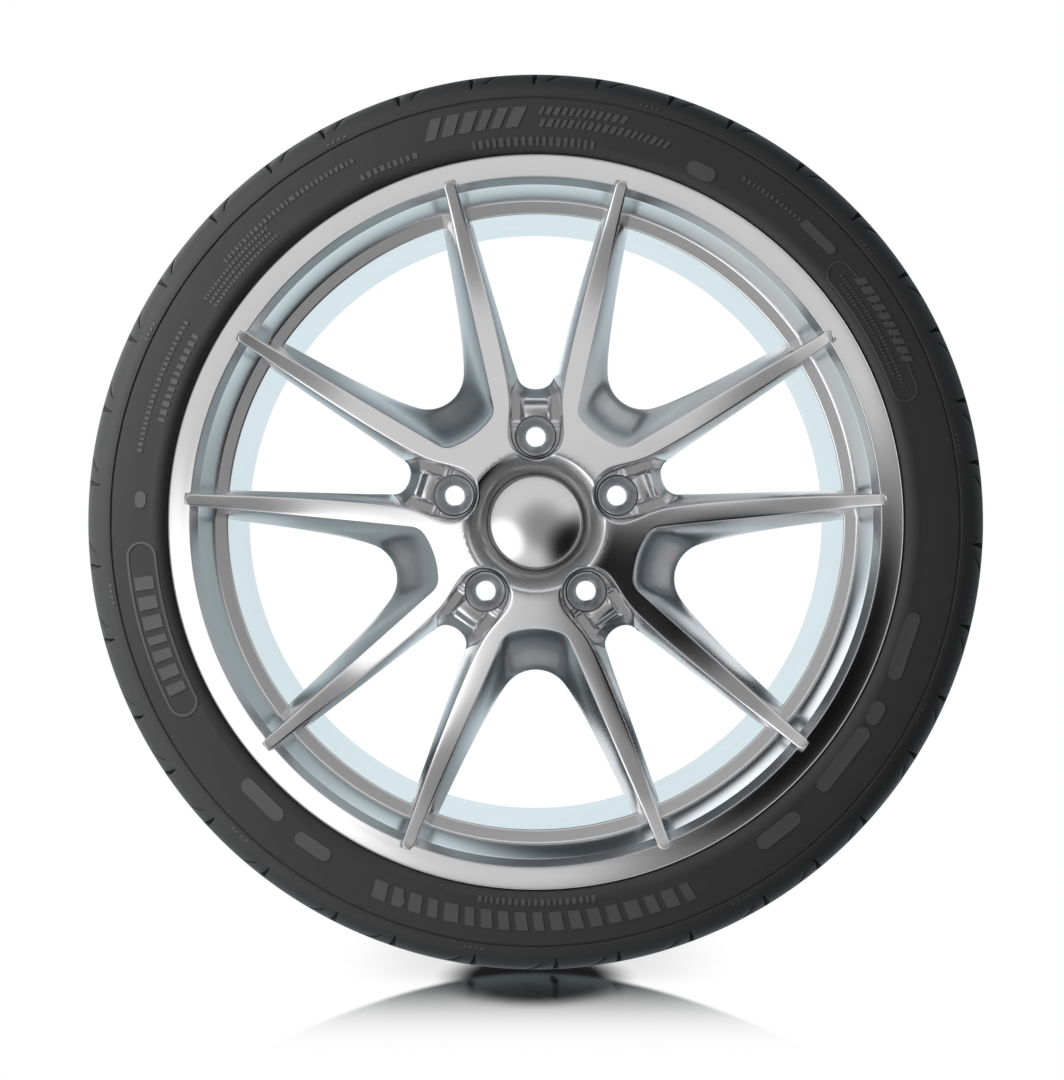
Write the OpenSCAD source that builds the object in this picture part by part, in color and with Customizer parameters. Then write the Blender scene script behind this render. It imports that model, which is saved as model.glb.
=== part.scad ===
// A low-profile summer tyre, mounted and inflated on a ten-spoke cast alloy wheel.
// The origin is the wheel centre: +Y is the wheel's axis, the outer face looks to -Y, +Z is up.

/* [Tyre] */
// Outer diameter over the tread centre
tyre_d = 679.5; // [670:0.5:690]
// Width over the bulged sidewalls
tyre_w = 248; // [244:0.5:252]
// Width of the tread between the shoulder edges
tread_w = 212; // [204:1:216]
// Radius of the tread's crown, across the tread
crown_r = 950; // [700:10:1400]
// Thickness of the tread and the belts under it
tread_t = 13; // [12:0.5:16]
// Thickness of the sidewall at its thinnest
sidewall_t = 7; // [5:0.5:8]
// Depth of the grooves round the tread
groove_depth = 7.2; // [5:0.2:8]
// Width of each groove round the tread, outer side first
groove_w = [8.5, 10.5, 10.5, 9.5];
// Place of each groove across the tread, outer side first
groove_y = [-66, -23, 21, 62];
// Number of tread blocks round the tyre
pitch_count = 38; // [32:1:44]
// Width of the V notch where a cross groove leaves the shoulder
notch_w = 6.4; // [4:0.2:8]
// Depth of the V notch below the shoulder edge
notch_depth = 13; // [8:0.5:15]
// Width of the slanted cuts in the shoulder and the ribs
slit_w = 2.4; // [1.5:0.1:3.5]
// Running gap between the tyre bead and the rim
bead_fit = 0.2; // [0.1:0.05:0.3]

/* [Rim] */
// Bead seat diameter
bead_d = 508; // [504:1:512]
// Width between the flanges
rim_w = 215.9; // [212:0.5:220]
// Height of the flange above the bead seat
flange_h = 17.3; // [16:0.1:18.5]
// Radius of the flange's rolled edge
flange_curve = 9.5; // [8.5:0.1:10.5]
// Depth of the outer lip, from the flange's tyre side to its front
lip_t = 12.75; // [12:0.25:14]
// Radius of the roll at the inner side of the outer lip
lip_roll = 12.6; // [11:0.2:14]
// Thickness of the barrel wall
wall_t = 5; // [4:0.25:6]
// Depth of the drop centre below the bead seat
well_drop = 15.4; // [14:0.2:17]
// Distance from the lip's front to the front of the step into the well
step_y = 45; // [42:0.5:48]

/* [Hub] */
// Distance of the mounting face from the rim's centre line
offset_et = 53; // [48:0.5:56]
// Thickness of the hub from its front to the mounting face
hub_t = 46.5; // [44:0.5:50]
// Diameter of the circle through the bolt holes
bolt_circle = 130; // [126:0.5:132]
// Number of bolt holes
bolt_count = 5; // [5:1:5]
// Diameter of a bolt hole
bolt_hole_d = 15; // [14:0.25:16]
// Diameter of the bolt seat
seat_d = 28.6; // [27:0.2:30]
// Height of the metal left under a bolt seat
seat_stock = 13; // [10:0.5:15]
// Radius of the pocket round a bolt
pocket_r = 20.8; // [20:0.2:22]
// Diameter of the bore that centres the wheel on the hub
bore_d = 71.6; // [66:0.1:74]
// Depth of that bore
bore_depth = 20; // [16:0.5:22]
// Diameter of the mounting face
pad_d = 166; // [160:1:172]
// Depth of the hollows in the mounting face, between the bolts
pad_hollow = 15; // [8:0.5:18]

/* [Spokes] */
// Distance of the spoke tips behind the lip's front
tip_d = 1; // [0.8:0.1:2.5]
// Thickness of a spoke at the rim
spoke_t = 54; // [50:0.5:56]
// Nearest distance of the wide opening's front edge to the axis
wide_front = 80; // [78:0.5:84]
// Nearest distance of the wide opening's rear edge to the axis
wide_rear = 113.8; // [110:0.2:116]
// Lean of the wide opening's straight sides from its middle line, in degrees
wide_lean = 23.6; // [23:0.1:24.5]
// Nearest distance of the narrow opening's rear edge to the axis
narrow_rear = 102.4; // [100:0.2:106]
// Lean of the narrow opening's rear sides from its middle line, in degrees
narrow_lean = 16.5; // [16:0.1:17]
// Width of the channel along the back of a spoke, at its inner end
channel_w = 16; // [10:0.5:18]
// Depth of that channel
channel_depth = 14; // [6:0.5:16]

/* [Centre cap] */
// Diameter of the cap's face
cap_d = 68.6; // [66:0.2:70]
// Rise of the cap's dome
cap_rise = 10.5; // [6:0.5:13]
// Thickness of the cap's shell
cap_t = 2.6; // [2:0.1:3.5]
// Diameter of the bore that the cap's legs press into
cap_bore_d = 60; // [56:0.5:61]
// Depth of the cap's seat behind the hub's front
cap_seat = 7.5; // [6:0.5:9]
// Number of legs on the cap
leg_count = 8; // [6:1:10]
// Length of a leg
leg_l = 16; // [12:0.5:17]
// Diameter of the spring wire behind the legs
spring_wire = 2; // [1.6:0.1:2.4]

/* [Valve] */
// Place of the valve round the wheel, clockwise from the top
valve_angle = 158.6; // [156:0.2:161]
// Distance of the valve behind the lip's front
valve_y = 77; // [74:0.5:80]
// Diameter of the valve hole
valve_hole_d = 11.3; // [11.3:0.1:12.5]
// Diameter of the stem's threaded shank
shank_d = 10; // [9.6:0.1:10.2]
// Diameter of the stem's cap thread
cap_thread_d = 7.7; // [7.4:0.1:8]
// Length of the stem inside the well
stem_l = 30; // [26:0.5:34]
// Width of the nut across its flats
nut_af = 14; // [13:0.5:15]
// Diameter of the valve core
core_d = 3.8; // [3.4:0.1:4.2]
// Travel of the core pin
pin_travel = 1.2; // [0.8:0.1:1.5]

/* [Hidden] */
$fn = 96;

rubber = [0.13, 0.13, 0.135];
silver = [0.78, 0.79, 0.80];
brass = [0.72, 0.60, 0.33];
steel = [0.62, 0.63, 0.65];
black_plastic = [0.10, 0.10, 0.11];
eps = 0.01;
fit = 0.05;             // gap between pieces that are clamped or pressed together

// Rim radii and planes
bead_r = bead_d / 2;
lip_r = bead_r + flange_h;
flange_y = rim_w / 2;
front_y = -(flange_y + lip_t);
well_r = bead_r - well_drop;
well_in = well_r - wall_t;
seat_w = 21;            // width of a bead seat
seat_taper = tan(5);
heel = 6.5;             // fillet between bead seat and flange
hump = 1.3;             // height of the hump that keeps the bead on its seat
edge = 1.8;             // rounding of the lip's outer corner
toe = 3;                // distance of the bead's toe from the hump
function seat_r(u) = bead_r - (u - heel) * seat_taper;      // u is measured from the flange

// Hub planes, all measured along the axis
pad_y = -offset_et;
hub_front = pad_y - hub_t;
hub_d = hub_front - front_y;
bolt_r = bolt_circle / 2;
arm_step = 360 / bolt_count;

function arc(centre, r, from, to, n) =
    [for (i = [0:n]) let (a = from + (to - from) * i / n) centre + r * [cos(a), sin(a)]];
function bezier2(p, n) =
    [for (i = [0:n]) let (t = i / n) (1 - t) * (1 - t) * p[0] + 2 * t * (1 - t) * p[1] + t * t * p[2]];
function bezier3(p, n) =
    [for (i = [0:n]) let (t = i / n, s = 1 - t)
        s * s * s * p[0] + 3 * s * s * t * p[1] + 3 * s * t * t * p[2] + t * t * t * p[3]];
function reversed(p) = [for (i = [len(p) - 1:-1:0]) p[i]];
function other_side(p) = [for (q = p) if (abs(q[1]) > eps) [q[0], -q[1]]];
function heading(a) = [sin(a), cos(a)];      // a is measured from the middle line

// Turns a profile of [radius, place along the axis] round the wheel's axis
module turned(profile) {
    rotate([-90, 0, 0]) rotate_extrude($fn = 180) polygon(profile);
}

// Places children round the wheel, clockwise from the top as seen from the front
module around(angles) {
    for (a = angles) rotate([0, a, 0]) children();
}

// A solid between two closed outlines of [across, outwards], in planes across the axis
module loft(front, rear, y_front, y_rear) {
    n = len(front);
    polyhedron(
        points = concat([for (p = front) [p[0], y_front, p[1]]], [for (p = rear) [p[0], y_rear, p[1]]]),
        faces = concat([[for (i = [n - 1:-1:0]) i]], [[for (i = [0:n - 1]) n + i]],
            [for (i = [0:n - 1]) let (j = (i + 1) % n) each [[i, j, n + i], [j, n + j, n + i]]]));
}

function mirrored(half) = concat(half, [for (p = reversed(half)) if (p[0] > eps) [-p[0], p[1]]]);

// Rim: barrel, two flanges, bead seats and drop centre

function flange_outside(side) = concat(
    arc([lip_r - flange_curve, flange_y + flange_curve], flange_curve, 0, -90, 6),
    arc([bead_r + heel, flange_y - heel], heel, 90, 180, 4),
    [[seat_r(seat_w), flange_y - seat_w], [seat_r(seat_w) + hump, flange_y - seat_w - 2.5],
     [seat_r(seat_w), flange_y - seat_w - 5]]);

// From the wall behind the lip, over the roll, to the lip's outer corner
function lip_face() = concat(
    [[lip_r - 20.1, front_y + lip_roll + 0.4]],
    arc([lip_r - 7.3, front_y + lip_roll + 0.2], lip_roll, 180, 270, 8),
    arc([lip_r - edge, front_y + edge], edge, 270, 360, 3));

function rim_profile() = concat(
    other_side(flange_outside()),
    [[well_r + 3, front_y + step_y + 10], [well_r, front_y + step_y + 15], [well_r, -22],
     [well_r + 8, 4], [well_r + 9.4, flange_y - seat_w - 9]],
    reversed(flange_outside()),
    arc([lip_r - edge, flange_y + lip_t - edge], edge, 0, 90, 3),
    [[lip_r - 9, flange_y + lip_t], [well_in + 14, flange_y + 5], [well_in + 8.5, flange_y - 2],
     [well_in + 6.9, 20], [well_in, -22], [well_in, front_y + step_y + 7],
     [well_in + 10.7, front_y + step_y]],
    lip_face());

module rim() {
    turned(rim_profile());
}

// Disc: hub and spokes before the openings are cut

hub_ring_r = 54;        // outer radius of the hollow ring round the cap
hub_ring_deep = 6;      // depth of that ring at the cap's edge
tip_r = lip_r - 12.8;   // where the spokes' fronts end, on the lip's roll
wall_mid = wall_t / 2;
spoke_back = front_y + spoke_t + 2;

function dish(r) = front_y + hub_d + (tip_d - hub_d) * pow((r - hub_ring_r) / (tip_r - hub_ring_r), 1.12);

module disc() {
    cap_r = cap_d / 2 + 0.3;
    turned(concat(
        [[cap_bore_d / 2 - eps, pad_y], [pad_d / 2, pad_y], [pad_d / 2 + 4, pad_y - 5],
         [pad_d / 2 + 16, spoke_back + 4], [150, spoke_back], [well_in + wall_mid, spoke_back],
         [well_in + wall_mid, front_y + step_y + 6], [well_in + 13, front_y + step_y - 1],
         [lip_r - 19, front_y + lip_roll + 1], [tip_r, front_y + lip_roll - 2]],
        [for (i = [0:8]) let (r = tip_r + (hub_ring_r - tip_r) * i / 8) [r, dish(r)]],
        bezier2([[hub_ring_r, hub_front], [cap_r + 8, hub_front + 1], [cap_r, hub_front + hub_ring_deep]], 5),
        [[cap_r, hub_front + cap_seat + 2], [cap_bore_d / 2 - eps, hub_front + cap_seat + 2]]));
}

// Wide opening, on the middle line between two bolts: a rounded V whose floor slopes to the back

wide_front_r = 60;      // radius of its front edge's floor
wide_corner_r = 12;     // radius of its front corners
wide_corner_a = 17;     // where the floor turns into the corner, in degrees
wide_rear_r = 27.2;     // radius of its rear edge's floor
wide_rear_a = 50;       // where that floor turns into the side, in degrees
wide_rear_lean = 25.5;  // lean of the rear sides where they meet the barrel
reach = 190;            // length of the straight sides, past the barrel

function wide_front_half() =
    let (floor_arc = arc([0, wide_front + wide_front_r], wide_front_r, -90, -90 + wide_corner_a, 3),
         turn = 90 - wide_lean,
         centre = floor_arc[3] + wide_corner_r * [-sin(wide_corner_a), cos(wide_corner_a)],
         corner = arc(centre, wide_corner_r, -90 + wide_corner_a, -90 + turn, 5),
         start = corner[5])
    concat(floor_arc, [for (i = [1:5]) corner[i]],
        [for (t = [1:6]) start + heading(wide_lean) * reach * t / 6]);

function wide_rear_half() =
    let (floor_arc = arc([0, wide_rear + wide_rear_r], wide_rear_r, -90, -90 + wide_rear_a, 8),
         turn = floor_arc[8] + 21.7 * heading(90 - wide_rear_a),
         side = bezier2([floor_arc[8], turn, turn + 74 * heading(wide_rear_lean)], 4))
    concat(floor_arc, [for (i = [1:4]) side[i]],
        [for (t = [1:2]) side[4] + 34 * t * heading(wide_rear_lean)]);

// Narrow opening, beyond a bolt: its front edges are the inner edges of the two spokes

function narrow_front_half() =
    let (edge_curve = bezier2([[19.7, bolt_r + 27], [21.8, bolt_r + 60], [lip_r - 211, lip_r - 18.3]], 4),
         tail = heading(16.7))
    concat(arc([0, bolt_r + 32], 19.2, -90, -50, 3), arc([5, bolt_r + 27.5], 14.6, -42, -8, 3), edge_curve,
        [edge_curve[4] + 20 * tail]);

function narrow_rear_half() =
    let (floor_arc = arc([0, narrow_rear + 19], 19, -90, -60, 3),
         corner = arc(floor_arc[3] + 9 * [-0.5, cos(30)], 9, -60, -narrow_lean, 4),
         share = [0.02, 0.15, 0.36, 0.62, 0.95, 1.08])
    concat(floor_arc, [for (i = [1:4]) corner[i]],
        [for (s = share) corner[4] + heading(narrow_lean) * 152 * s]);

// Pocket round a bolt, open to the narrow opening

function pocket_half(r) = concat(
    arc([0, bolt_r + 1.8], r, -90, 0, 7),
    [[r - 1.1, bolt_r + 21], [r - 1, bolt_r + 28], [r - 8, bolt_r + 33], [0, bolt_r + 33]]);

pocket_floor = pad_y - seat_stock - 11;
boss_h = 3.5;           // height of the rim round a bolt seat

// Straight rulings from the front outline to the rear one, carried on past both faces of the disc
module opening(front_half, rear_half) {
    front = mirrored(front_half);
    rear = mirrored(rear_half);
    d_front = hub_d - 4;
    d_rear = spoke_t + 4;
    ends = [-8, d_rear + 16];
    outlines = [for (d = ends) [for (i = [0:len(front) - 1])
        front[i] + (rear[i] - front[i]) * (d - d_front) / (d_rear - d_front)]];
    loft(outlines[0], outlines[1], front_y + ends[0], front_y + ends[1]);
}

module bolt_pocket() {
    top = mirrored(pocket_half(pocket_r + 1.6));
    bottom = mirrored(pocket_half(pocket_r - 3));
    loft(top, bottom, hub_front - 14, pocket_floor);
}

// The two dark wells beside the saddle, outside the bolt's boss
module side_wells() {
    for (s = [-1, 1])
        translate([s * 13.9, pocket_floor + 9, bolt_r + 22]) rotate([90, 0, 0])
            linear_extrude(20) polygon(concat(arc([0, 10], 3, 0, 180, 4), arc([0, -8], 3, 180, 360, 4)));
}

module bolt_boss() {
    translate([0, pocket_floor + 2, bolt_r]) rotate([90, 0, 0])
        cylinder(h = boss_h + 2, r1 = seat_d / 2 + 1.6, r2 = seat_d / 2 + 0.9);
}

module bolt_seat() {
    seat_deep = (seat_d - bolt_hole_d) / 2 / tan(30);
    translate([0, pad_y + 1, bolt_r]) rotate([90, 0, 0]) cylinder(h = hub_t + 20, d = bolt_hole_d, $fn = 64);
    translate([0, pad_y - seat_stock, bolt_r]) rotate([90, 0, 0])
        cylinder(h = seat_deep, d1 = bolt_hole_d, d2 = seat_d, $fn = 64);
    translate([0, pad_y - seat_stock - seat_deep + eps, bolt_r]) rotate([90, 0, 0])
        cylinder(h = 30, d = seat_d, $fn = 64);
}

// Hollow in the mounting face between two bolts
module pad_recess() {
    translate([0, pad_y + 1, 0]) rotate([90, 0, 0]) linear_extrude(pad_hollow + 1)
        polygon(concat(arc([0, 0], pad_d / 2 - 9, 74, 106, 6), arc([0, 0], bore_d / 2 + 10, 101, 79, 4)));
}

channel_in = 126;       // where the channel along the back of a spoke starts
channel_out = 222;      // where it ends
channel_slope = 10;     // run of its end walls

// Channel along the back of the spoke right of a narrow opening
module back_channel() {
    inner = channel_w / 2;
    outer = channel_w / 4;
    foot = channel_in + channel_slope;
    head = channel_out - channel_slope;
    rotate([0, 14.9, 0]) translate([1.6, 0, 0])
        loft([[-inner * 0.5, foot], [inner * 0.5, foot], [outer * 0.5, head], [-outer * 0.5, head]],
             [[-inner, channel_in], [inner, channel_in],
              [outer * 1.6, channel_out], [-outer * 1.6, channel_out]],
             spoke_back - channel_depth, spoke_back + 1);
}

nose_r = 3.6;           // radius of a spoke's tip
nose_heading = 14.33;   // its turn from the narrow opening's middle line, in degrees
nose_out = lip_r - 12.1;

// Round ends of the two spokes beside a narrow opening, where they run out on the lip
module tip_noses() {
    for (s = [-1, 1])
        rotate([0, s * nose_heading, 0]) translate([0, front_y + lip_roll, nose_out - nose_r])
            rotate([90, 0, 0]) cylinder(h = lip_roll - tip_d - 0.4, r = nose_r, $fn = 32);
}

module wheel() {
    bolts = [for (i = [0:bolt_count - 1]) i * arm_step];
    arms = [for (a = bolts) a + arm_step / 2];
    color(silver) difference() {
        union() {
            rim();
            difference() {
                disc();
                around(arms) opening(wide_front_half(), wide_rear_half());
                around(bolts) opening(narrow_front_half(), narrow_rear_half());
                around(bolts) bolt_pocket();
                around(bolts) side_wells();
                around(arms) pad_recess();
                around(bolts) back_channel();
                around(bolts) mirror([1, 0, 0]) back_channel();
            }
            around(bolts) bolt_boss();
            around(bolts) tip_noses();
            at_valve() cylinder(h = 4, r = valve_boss_r, $fn = 48);
        }
        around(bolts) bolt_seat();
        turned([[0, hub_front - 9], [cap_bore_d / 2, hub_front - 9], [cap_bore_d / 2, pad_y + 2],
            [0, pad_y + 2]]);
        turned([[0, pad_y - bore_depth], [bore_d / 2, pad_y - bore_depth], [bore_d / 2, pad_y - 1.5],
            [bore_d / 2 + 2, pad_y + 0.5], [bore_d / 2 + 2, pad_y + 3], [0, pad_y + 3]]);
        at_valve() translate([0, 0, -4]) cylinder(h = 20, d = valve_hole_d, $fn = 48);
        at_valve() translate([0, 0, wall_t + 1.1]) cylinder(h = 6, r = valve_boss_r, $fn = 48);
    }
}

// Tyre: bead, sidewall and tread on one closed section, the same on both sides of the middle

tread_edge = tread_w / 2 - 13;
function crown(y) = tyre_d / 2 - crown_r + sqrt(crown_r * crown_r - y * y);
tyre_side = tyre_w / 2;
belt_r = lip_r + 43;    // where the sidewall's fine line runs
rib_r = lip_r + 8;      // the rib that shields the rim

function tyre_outside() = concat(
    [[seat_r(seat_w - toe) + bead_fit, flange_y - seat_w + toe]],
    arc([bead_r + heel, flange_y - heel], heel - bead_fit, 180, 90, 4),
    arc([lip_r - flange_curve, flange_y + flange_curve], flange_curve + bead_fit, -90, -8, 6),
    [[lip_r + 0.9, flange_y + flange_curve + 1.9]],
    bezier3([[lip_r + 1.6, tyre_side - 4.4], [rib_r - 4, tyre_side - 1], [rib_r - 2, tyre_side + 0.1],
        [rib_r + 1, tyre_side]], 4),
    [[rib_r + 4.5, tyre_side - 1.3]],
    bezier2([[rib_r + 7, tyre_side - 1.1], [rib_r + 19, tyre_side + 0.8],
        [belt_r - 0.8, tyre_side - 1.7]], 5),
    [[belt_r, tyre_side - 2.7]],
    bezier3([[belt_r + 0.8, tyre_side - 1.8], [belt_r + 11, tyre_side - 3.5],
        [crown(tread_edge) - 1.6, tread_edge + 14], [crown(tread_edge), tread_edge]], 10),
    [for (i = [1:4]) let (y = tread_edge * (1 - i / 4)) [crown(y), y]]);

function tyre_inside() = concat(
    [for (i = [0:3]) let (y = (tread_edge - 4) * i / 3) [crown(y) - tread_t, y]],
    bezier3([[crown(tread_edge) - tread_t - 0.6, tread_edge + 4], [lip_r + 48, tyre_side - sidewall_t - 6],
        [lip_r + 34, tyre_side - sidewall_t], [lip_r + 22, tyre_side - sidewall_t]], 6),
    bezier3([[lip_r + 16, tyre_side - sidewall_t - 0.6], [lip_r + 2, tyre_side - sidewall_t - 5],
        [lip_r - 6, flange_y - 14], [bead_r + 5, flange_y - seat_w + 1]], 5));

module tyre_body() {
    turned(concat(tyre_outside(), other_side(reversed(tyre_outside())),
        other_side(reversed(tyre_inside())), tyre_inside()));
}

// Three block lengths follow each other without a short repeat, so that the tread doesn't hum
function block(i) = [8.5, 10.1, 11.1][floor(i * 0.618 * 3 + floor(i / 5)) % 3];
function blocks(n) = n == 0 ? 0 : blocks(n - 1) + block(n - 1);
pitches = [for (i = [0:pitch_count - 1]) 360 * blocks(i) / blocks(pitch_count)];

// V notch from the shoulder rib out over the shoulder
module shoulder_notch(side) {
    foot = crown(tread_edge) - notch_depth;
    top = tyre_d / 2 + 6;
    half = notch_w / 2 * (top - foot) / notch_depth;
    translate([0, side * tread_edge, 0]) rotate([0, 0, side * 9]) rotate([90, 0, 0])
        translate([0, 0, -side * 13 - 21]) linear_extrude(42)
            polygon([[0, foot], [half, top], [-half, top]]);
}

// A slender cut with pointed ends, sunk square to the surface it is placed on
module slash(l, w, deep) {
    translate([0, 0, -deep]) linear_extrude(deep + 6)
        polygon(concat(bezier2([[0, -l / 2], [w * 1.1, 0], [0, l / 2]], 4),
            [for (i = [3:-1:1]) bezier2([[0, -l / 2], [-w * 0.9, 0], [0, l / 2]], 4)[i]]));
}

module shoulder_slit(side) {
    y = tread_edge + 13;
    rotate([0, 2.8, 0]) translate([0, side * y, crown(tread_edge) - 3.4]) rotate([-side * 40, 0, 0])
        rotate([0, 0, side * 38]) slash(25, slit_w, 4.5);
}

module rib_slash(y, l, turn, lead) {
    rotate([0, lead, 0]) translate([0, y, crown(y)]) rotate([0, 0, turn])
        slash(l, slit_w, groove_depth * 0.8);
}

module tread_cuts() {
    for (a = pitches) rotate([0, a, 0]) {
        shoulder_notch(-1);
        shoulder_slit(-1);
        shoulder_notch(1);
        rib_slash(groove_y[0] + 20, 30, 52, 3);
        rib_slash(groove_y[1] + 20, 30, 48, 5.5);
        rib_slash(groove_y[3] - 17, 26, -50, 2);
    }
}

module tread_grooves() {
    for (i = [0:len(groove_y) - 1]) {
        y = groove_y[i];
        w = groove_w[i];
        r = crown(y);
        turned([[r - groove_depth, y - w / 2 + 2], [r - groove_depth, y + w / 2 - 2],
            [r + 3, y + w / 2 + 0.8], [r + 3, y - w / 2 - 0.8]]);
    }
}

module tyre() {
    color(rubber) difference() {
        tyre_body();
        tread_grooves();
        tread_cuts();
    }
}

// Centre cap: a domed shell with spring legs, and the wire ring that spreads them

cap_r = cap_d / 2;
cap_back = hub_front + cap_seat + 2 - fit;
cap_rim = 3;            // height of the cap's edge
leg_t = 2.4;
leg_hook = 3.5;         // distance of the spring ring from the legs' ends
leg_r = cap_bore_d / 2 - 0.2;
dome_r = (cap_r * cap_r + cap_rise * cap_rise) / (2 * cap_rise);
function dome(r, t) = cap_back - cap_rim - cap_rise + dome_r - sqrt(pow(dome_r - t, 2) - r * r);

module centre_cap() {
    ring_y = cap_back + leg_l - leg_hook;
    color(silver) difference() {
        union() {
            turned(concat([for (i = [0:8]) let (r = cap_r * i / 8) [r, dome(r, 0)]],
                [[cap_r, cap_back], [leg_r - leg_t, cap_back]],
                [for (i = [6:-1:0]) let (r = (leg_r - leg_t) * i / 6) [r, dome(r, cap_t)]]));
            turned([[leg_r - leg_t, cap_back - 1], [leg_r - 0.5, cap_back - 1], [leg_r - 0.5, ring_y - 3],
                [leg_r, ring_y - 1], [leg_r, ring_y + 1], [leg_r - 1.4, cap_back + leg_l],
                [leg_r - leg_t - 1, cap_back + leg_l], [leg_r - leg_t - 1, ring_y + spring_wire / 2 + 0.2],
                [leg_r - leg_t, ring_y + spring_wire / 2 + 0.2]]);
        }
        for (i = [0:leg_count - 1])
            rotate([0, (i + 0.5) * 360 / leg_count, 0]) translate([-4, cap_back + 2, 0])
                cube([8, leg_l, cap_bore_d]);
    }
}

module cap_spring_ring() {
    wire_r = spring_wire / 2;
    color(steel) translate([0, cap_back + leg_l - leg_hook, 0]) rotate([-90, 0, 0])
        rotate_extrude(angle = 344, $fn = 96) translate([leg_r - leg_t - wire_r - 0.1, 0])
            circle(wire_r, $fn = 24);
}

// Valve: clamped through the well, pointing at the wheel's axis behind a spoke

valve_boss_r = 9.5;
valve_base = well_in - 1.3;     // distance of the boss's flat face from the wheel's axis
stem_head_t = 2;
grommet_t = 3.2;
washer_t = 1.4;
nut_t = 5.2;
cap_l = 11;
thread_l = 9;
seat_top = wall_t + 1.1;        // flat on the tyre's side, above the boss's face
stem_top = seat_top + grommet_t + stem_head_t;
nut_bottom = -washer_t - nut_t - 2 * fit;
stem_end = -stem_l;
core_end = stem_end + 14;
core_bore = core_d / 2 - 0.6;
spring_foot = core_end - 2.4;
collar = stem_end + 3;  // outer face of the pin's collar
pin_r = 0.6;
cap_wall = 1.1;
cap_inside = stem_end - 1;

// Local frame of the valve: the origin on the boss's flat face, +Z away from the wheel's axis
module at_valve() {
    rotate([0, valve_angle, 0]) translate([0, front_y + valve_y, valve_base]) children();
}

module ring(z0, z1, r_out, r_in, fn = 48) {
    rotate_extrude($fn = fn) polygon([[r_in, z0], [r_out, z0], [r_out, z1], [r_in, z1]]);
}

module valve_stem() {
    shank = shank_d / 2;
    thread = cap_thread_d / 2;
    color(steel) at_valve() rotate_extrude($fn = 48) polygon([
        [core_d / 2 + fit, stem_end], [thread - 0.4, stem_end], [thread, stem_end + 0.6],
        [thread, stem_end + thread_l], [shank - 0.6, stem_end + thread_l + 2], [shank - 0.6, nut_bottom - 1],
        [shank, nut_bottom - 0.4], [shank, seat_top + grommet_t + fit],
        [valve_boss_r - 1, seat_top + grommet_t + fit],
        [valve_boss_r - 1, stem_top], [1.3, stem_top], [1.3, core_end + 5],
        [core_d / 2 + fit, core_end + 3.5]]);
}

module valve_grommet() {
    inner = shank_d / 2 + fit;
    hole = valve_hole_d / 2 - fit;
    color(rubber) at_valve() rotate_extrude($fn = 48) polygon([
        [inner, 0.4], [hole, 0.4], [hole, seat_top + fit], [valve_boss_r - 0.6, seat_top + fit],
        [valve_boss_r - 0.3, seat_top + grommet_t * 0.6], [valve_boss_r - 1, seat_top + grommet_t],
        [inner, seat_top + grommet_t]]);
}

module valve_washer() {
    color(steel) at_valve() ring(-washer_t - fit, -fit, valve_boss_r - 1.2, shank_d / 2 + fit);
}

module valve_nut() {
    flat = nut_af / 2;
    color(steel) at_valve() translate([0, 0, nut_bottom]) difference() {
        intersection() {
            cylinder(h = nut_t, r = flat / cos(30), $fn = 6);
            cylinder(h = nut_t, r1 = flat + 0.1, r2 = flat + 0.1 + nut_t);
        }
        translate([0, 0, -1]) cylinder(h = nut_t + 2, r = shank_d / 2 + fit, $fn = 48);
    }
}

module valve_core() {
    core = core_d / 2;
    color(brass) at_valve() rotate_extrude($fn = 32) polygon([
        [pin_r + 0.15, stem_end + 1], [core, stem_end + 1], [core, stem_end + 6],
        [core - 0.3, stem_end + 6.4], [core - 0.3, core_end], [pin_r + 0.25, core_end],
        [pin_r + 0.25, spring_foot], [core_bore, spring_foot], [core_bore, stem_end + 2.6],
        [pin_r + 0.15, stem_end + 2.6]]);
}

module valve_core_seal() {
    inner = core_d / 2 - 0.3 + fit;
    color(black_plastic) at_valve() translate([0, 0, stem_end + 6.6]) difference() {
        cylinder(h = 2.4, r = core_d / 2, $fn = 32);
        translate([0, 0, -1]) cylinder(h = 5, r = inner, $fn = 32);
    }
}

// The pin carries the collar that the spring pushes on, and the cup that seals the core's inner end
module valve_pin() {
    color(brass) at_valve() rotate_extrude($fn = 32) polygon([
        [0, stem_end + 0.6], [pin_r, stem_end + 0.6], [pin_r, collar], [core_bore - 0.1, collar],
        [core_bore - 0.1, collar + 0.5], [pin_r, collar + 0.5], [pin_r, core_end + fit],
        [core_d / 2 - 0.3, core_end + fit], [core_d / 2 - 0.3, core_end + 1], [0, core_end + 1]]);
}

// Return spring on the collar. It is drawn as short as the pressed pin leaves it.
module valve_spring() {
    turns = 4;
    steps = 10;
    wire = 0.15;
    coil = (pin_r + core_bore) / 2 + 0.02;
    foot = collar + 0.5 + fit + wire;
    rise = spring_foot - pin_travel - 0.1 - wire - foot;
    points = [for (i = [0:turns * steps]) let (a = 360 * i / steps)
        [coil * cos(a), coil * sin(a), foot + rise * i / (turns * steps)]];
    color(steel) at_valve() wire_along(points, wire, 5);
}

// A round wire along points that turn about the Z axis
module wire_along(points, r, sides) {
    n = len(points);
    rings = [for (p = points) let (out = [p[0], p[1], 0] / norm([p[0], p[1]]))
        for (j = [0:sides - 1]) p + r * (cos(360 * j / sides) * out + sin(360 * j / sides) * [0, 0, 1])];
    polyhedron(points = rings, faces = concat([[for (j = [0:sides - 1]) j]],
        [[for (j = [sides - 1:-1:0]) (n - 1) * sides + j]],
        [for (i = [0:n - 2]) for (j = [0:sides - 1]) let (k = (j + 1) % sides, a = i * sides)
            each [[a + j, a + sides + j, a + k], [a + k, a + sides + j, a + sides + k]]]));
}

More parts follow.
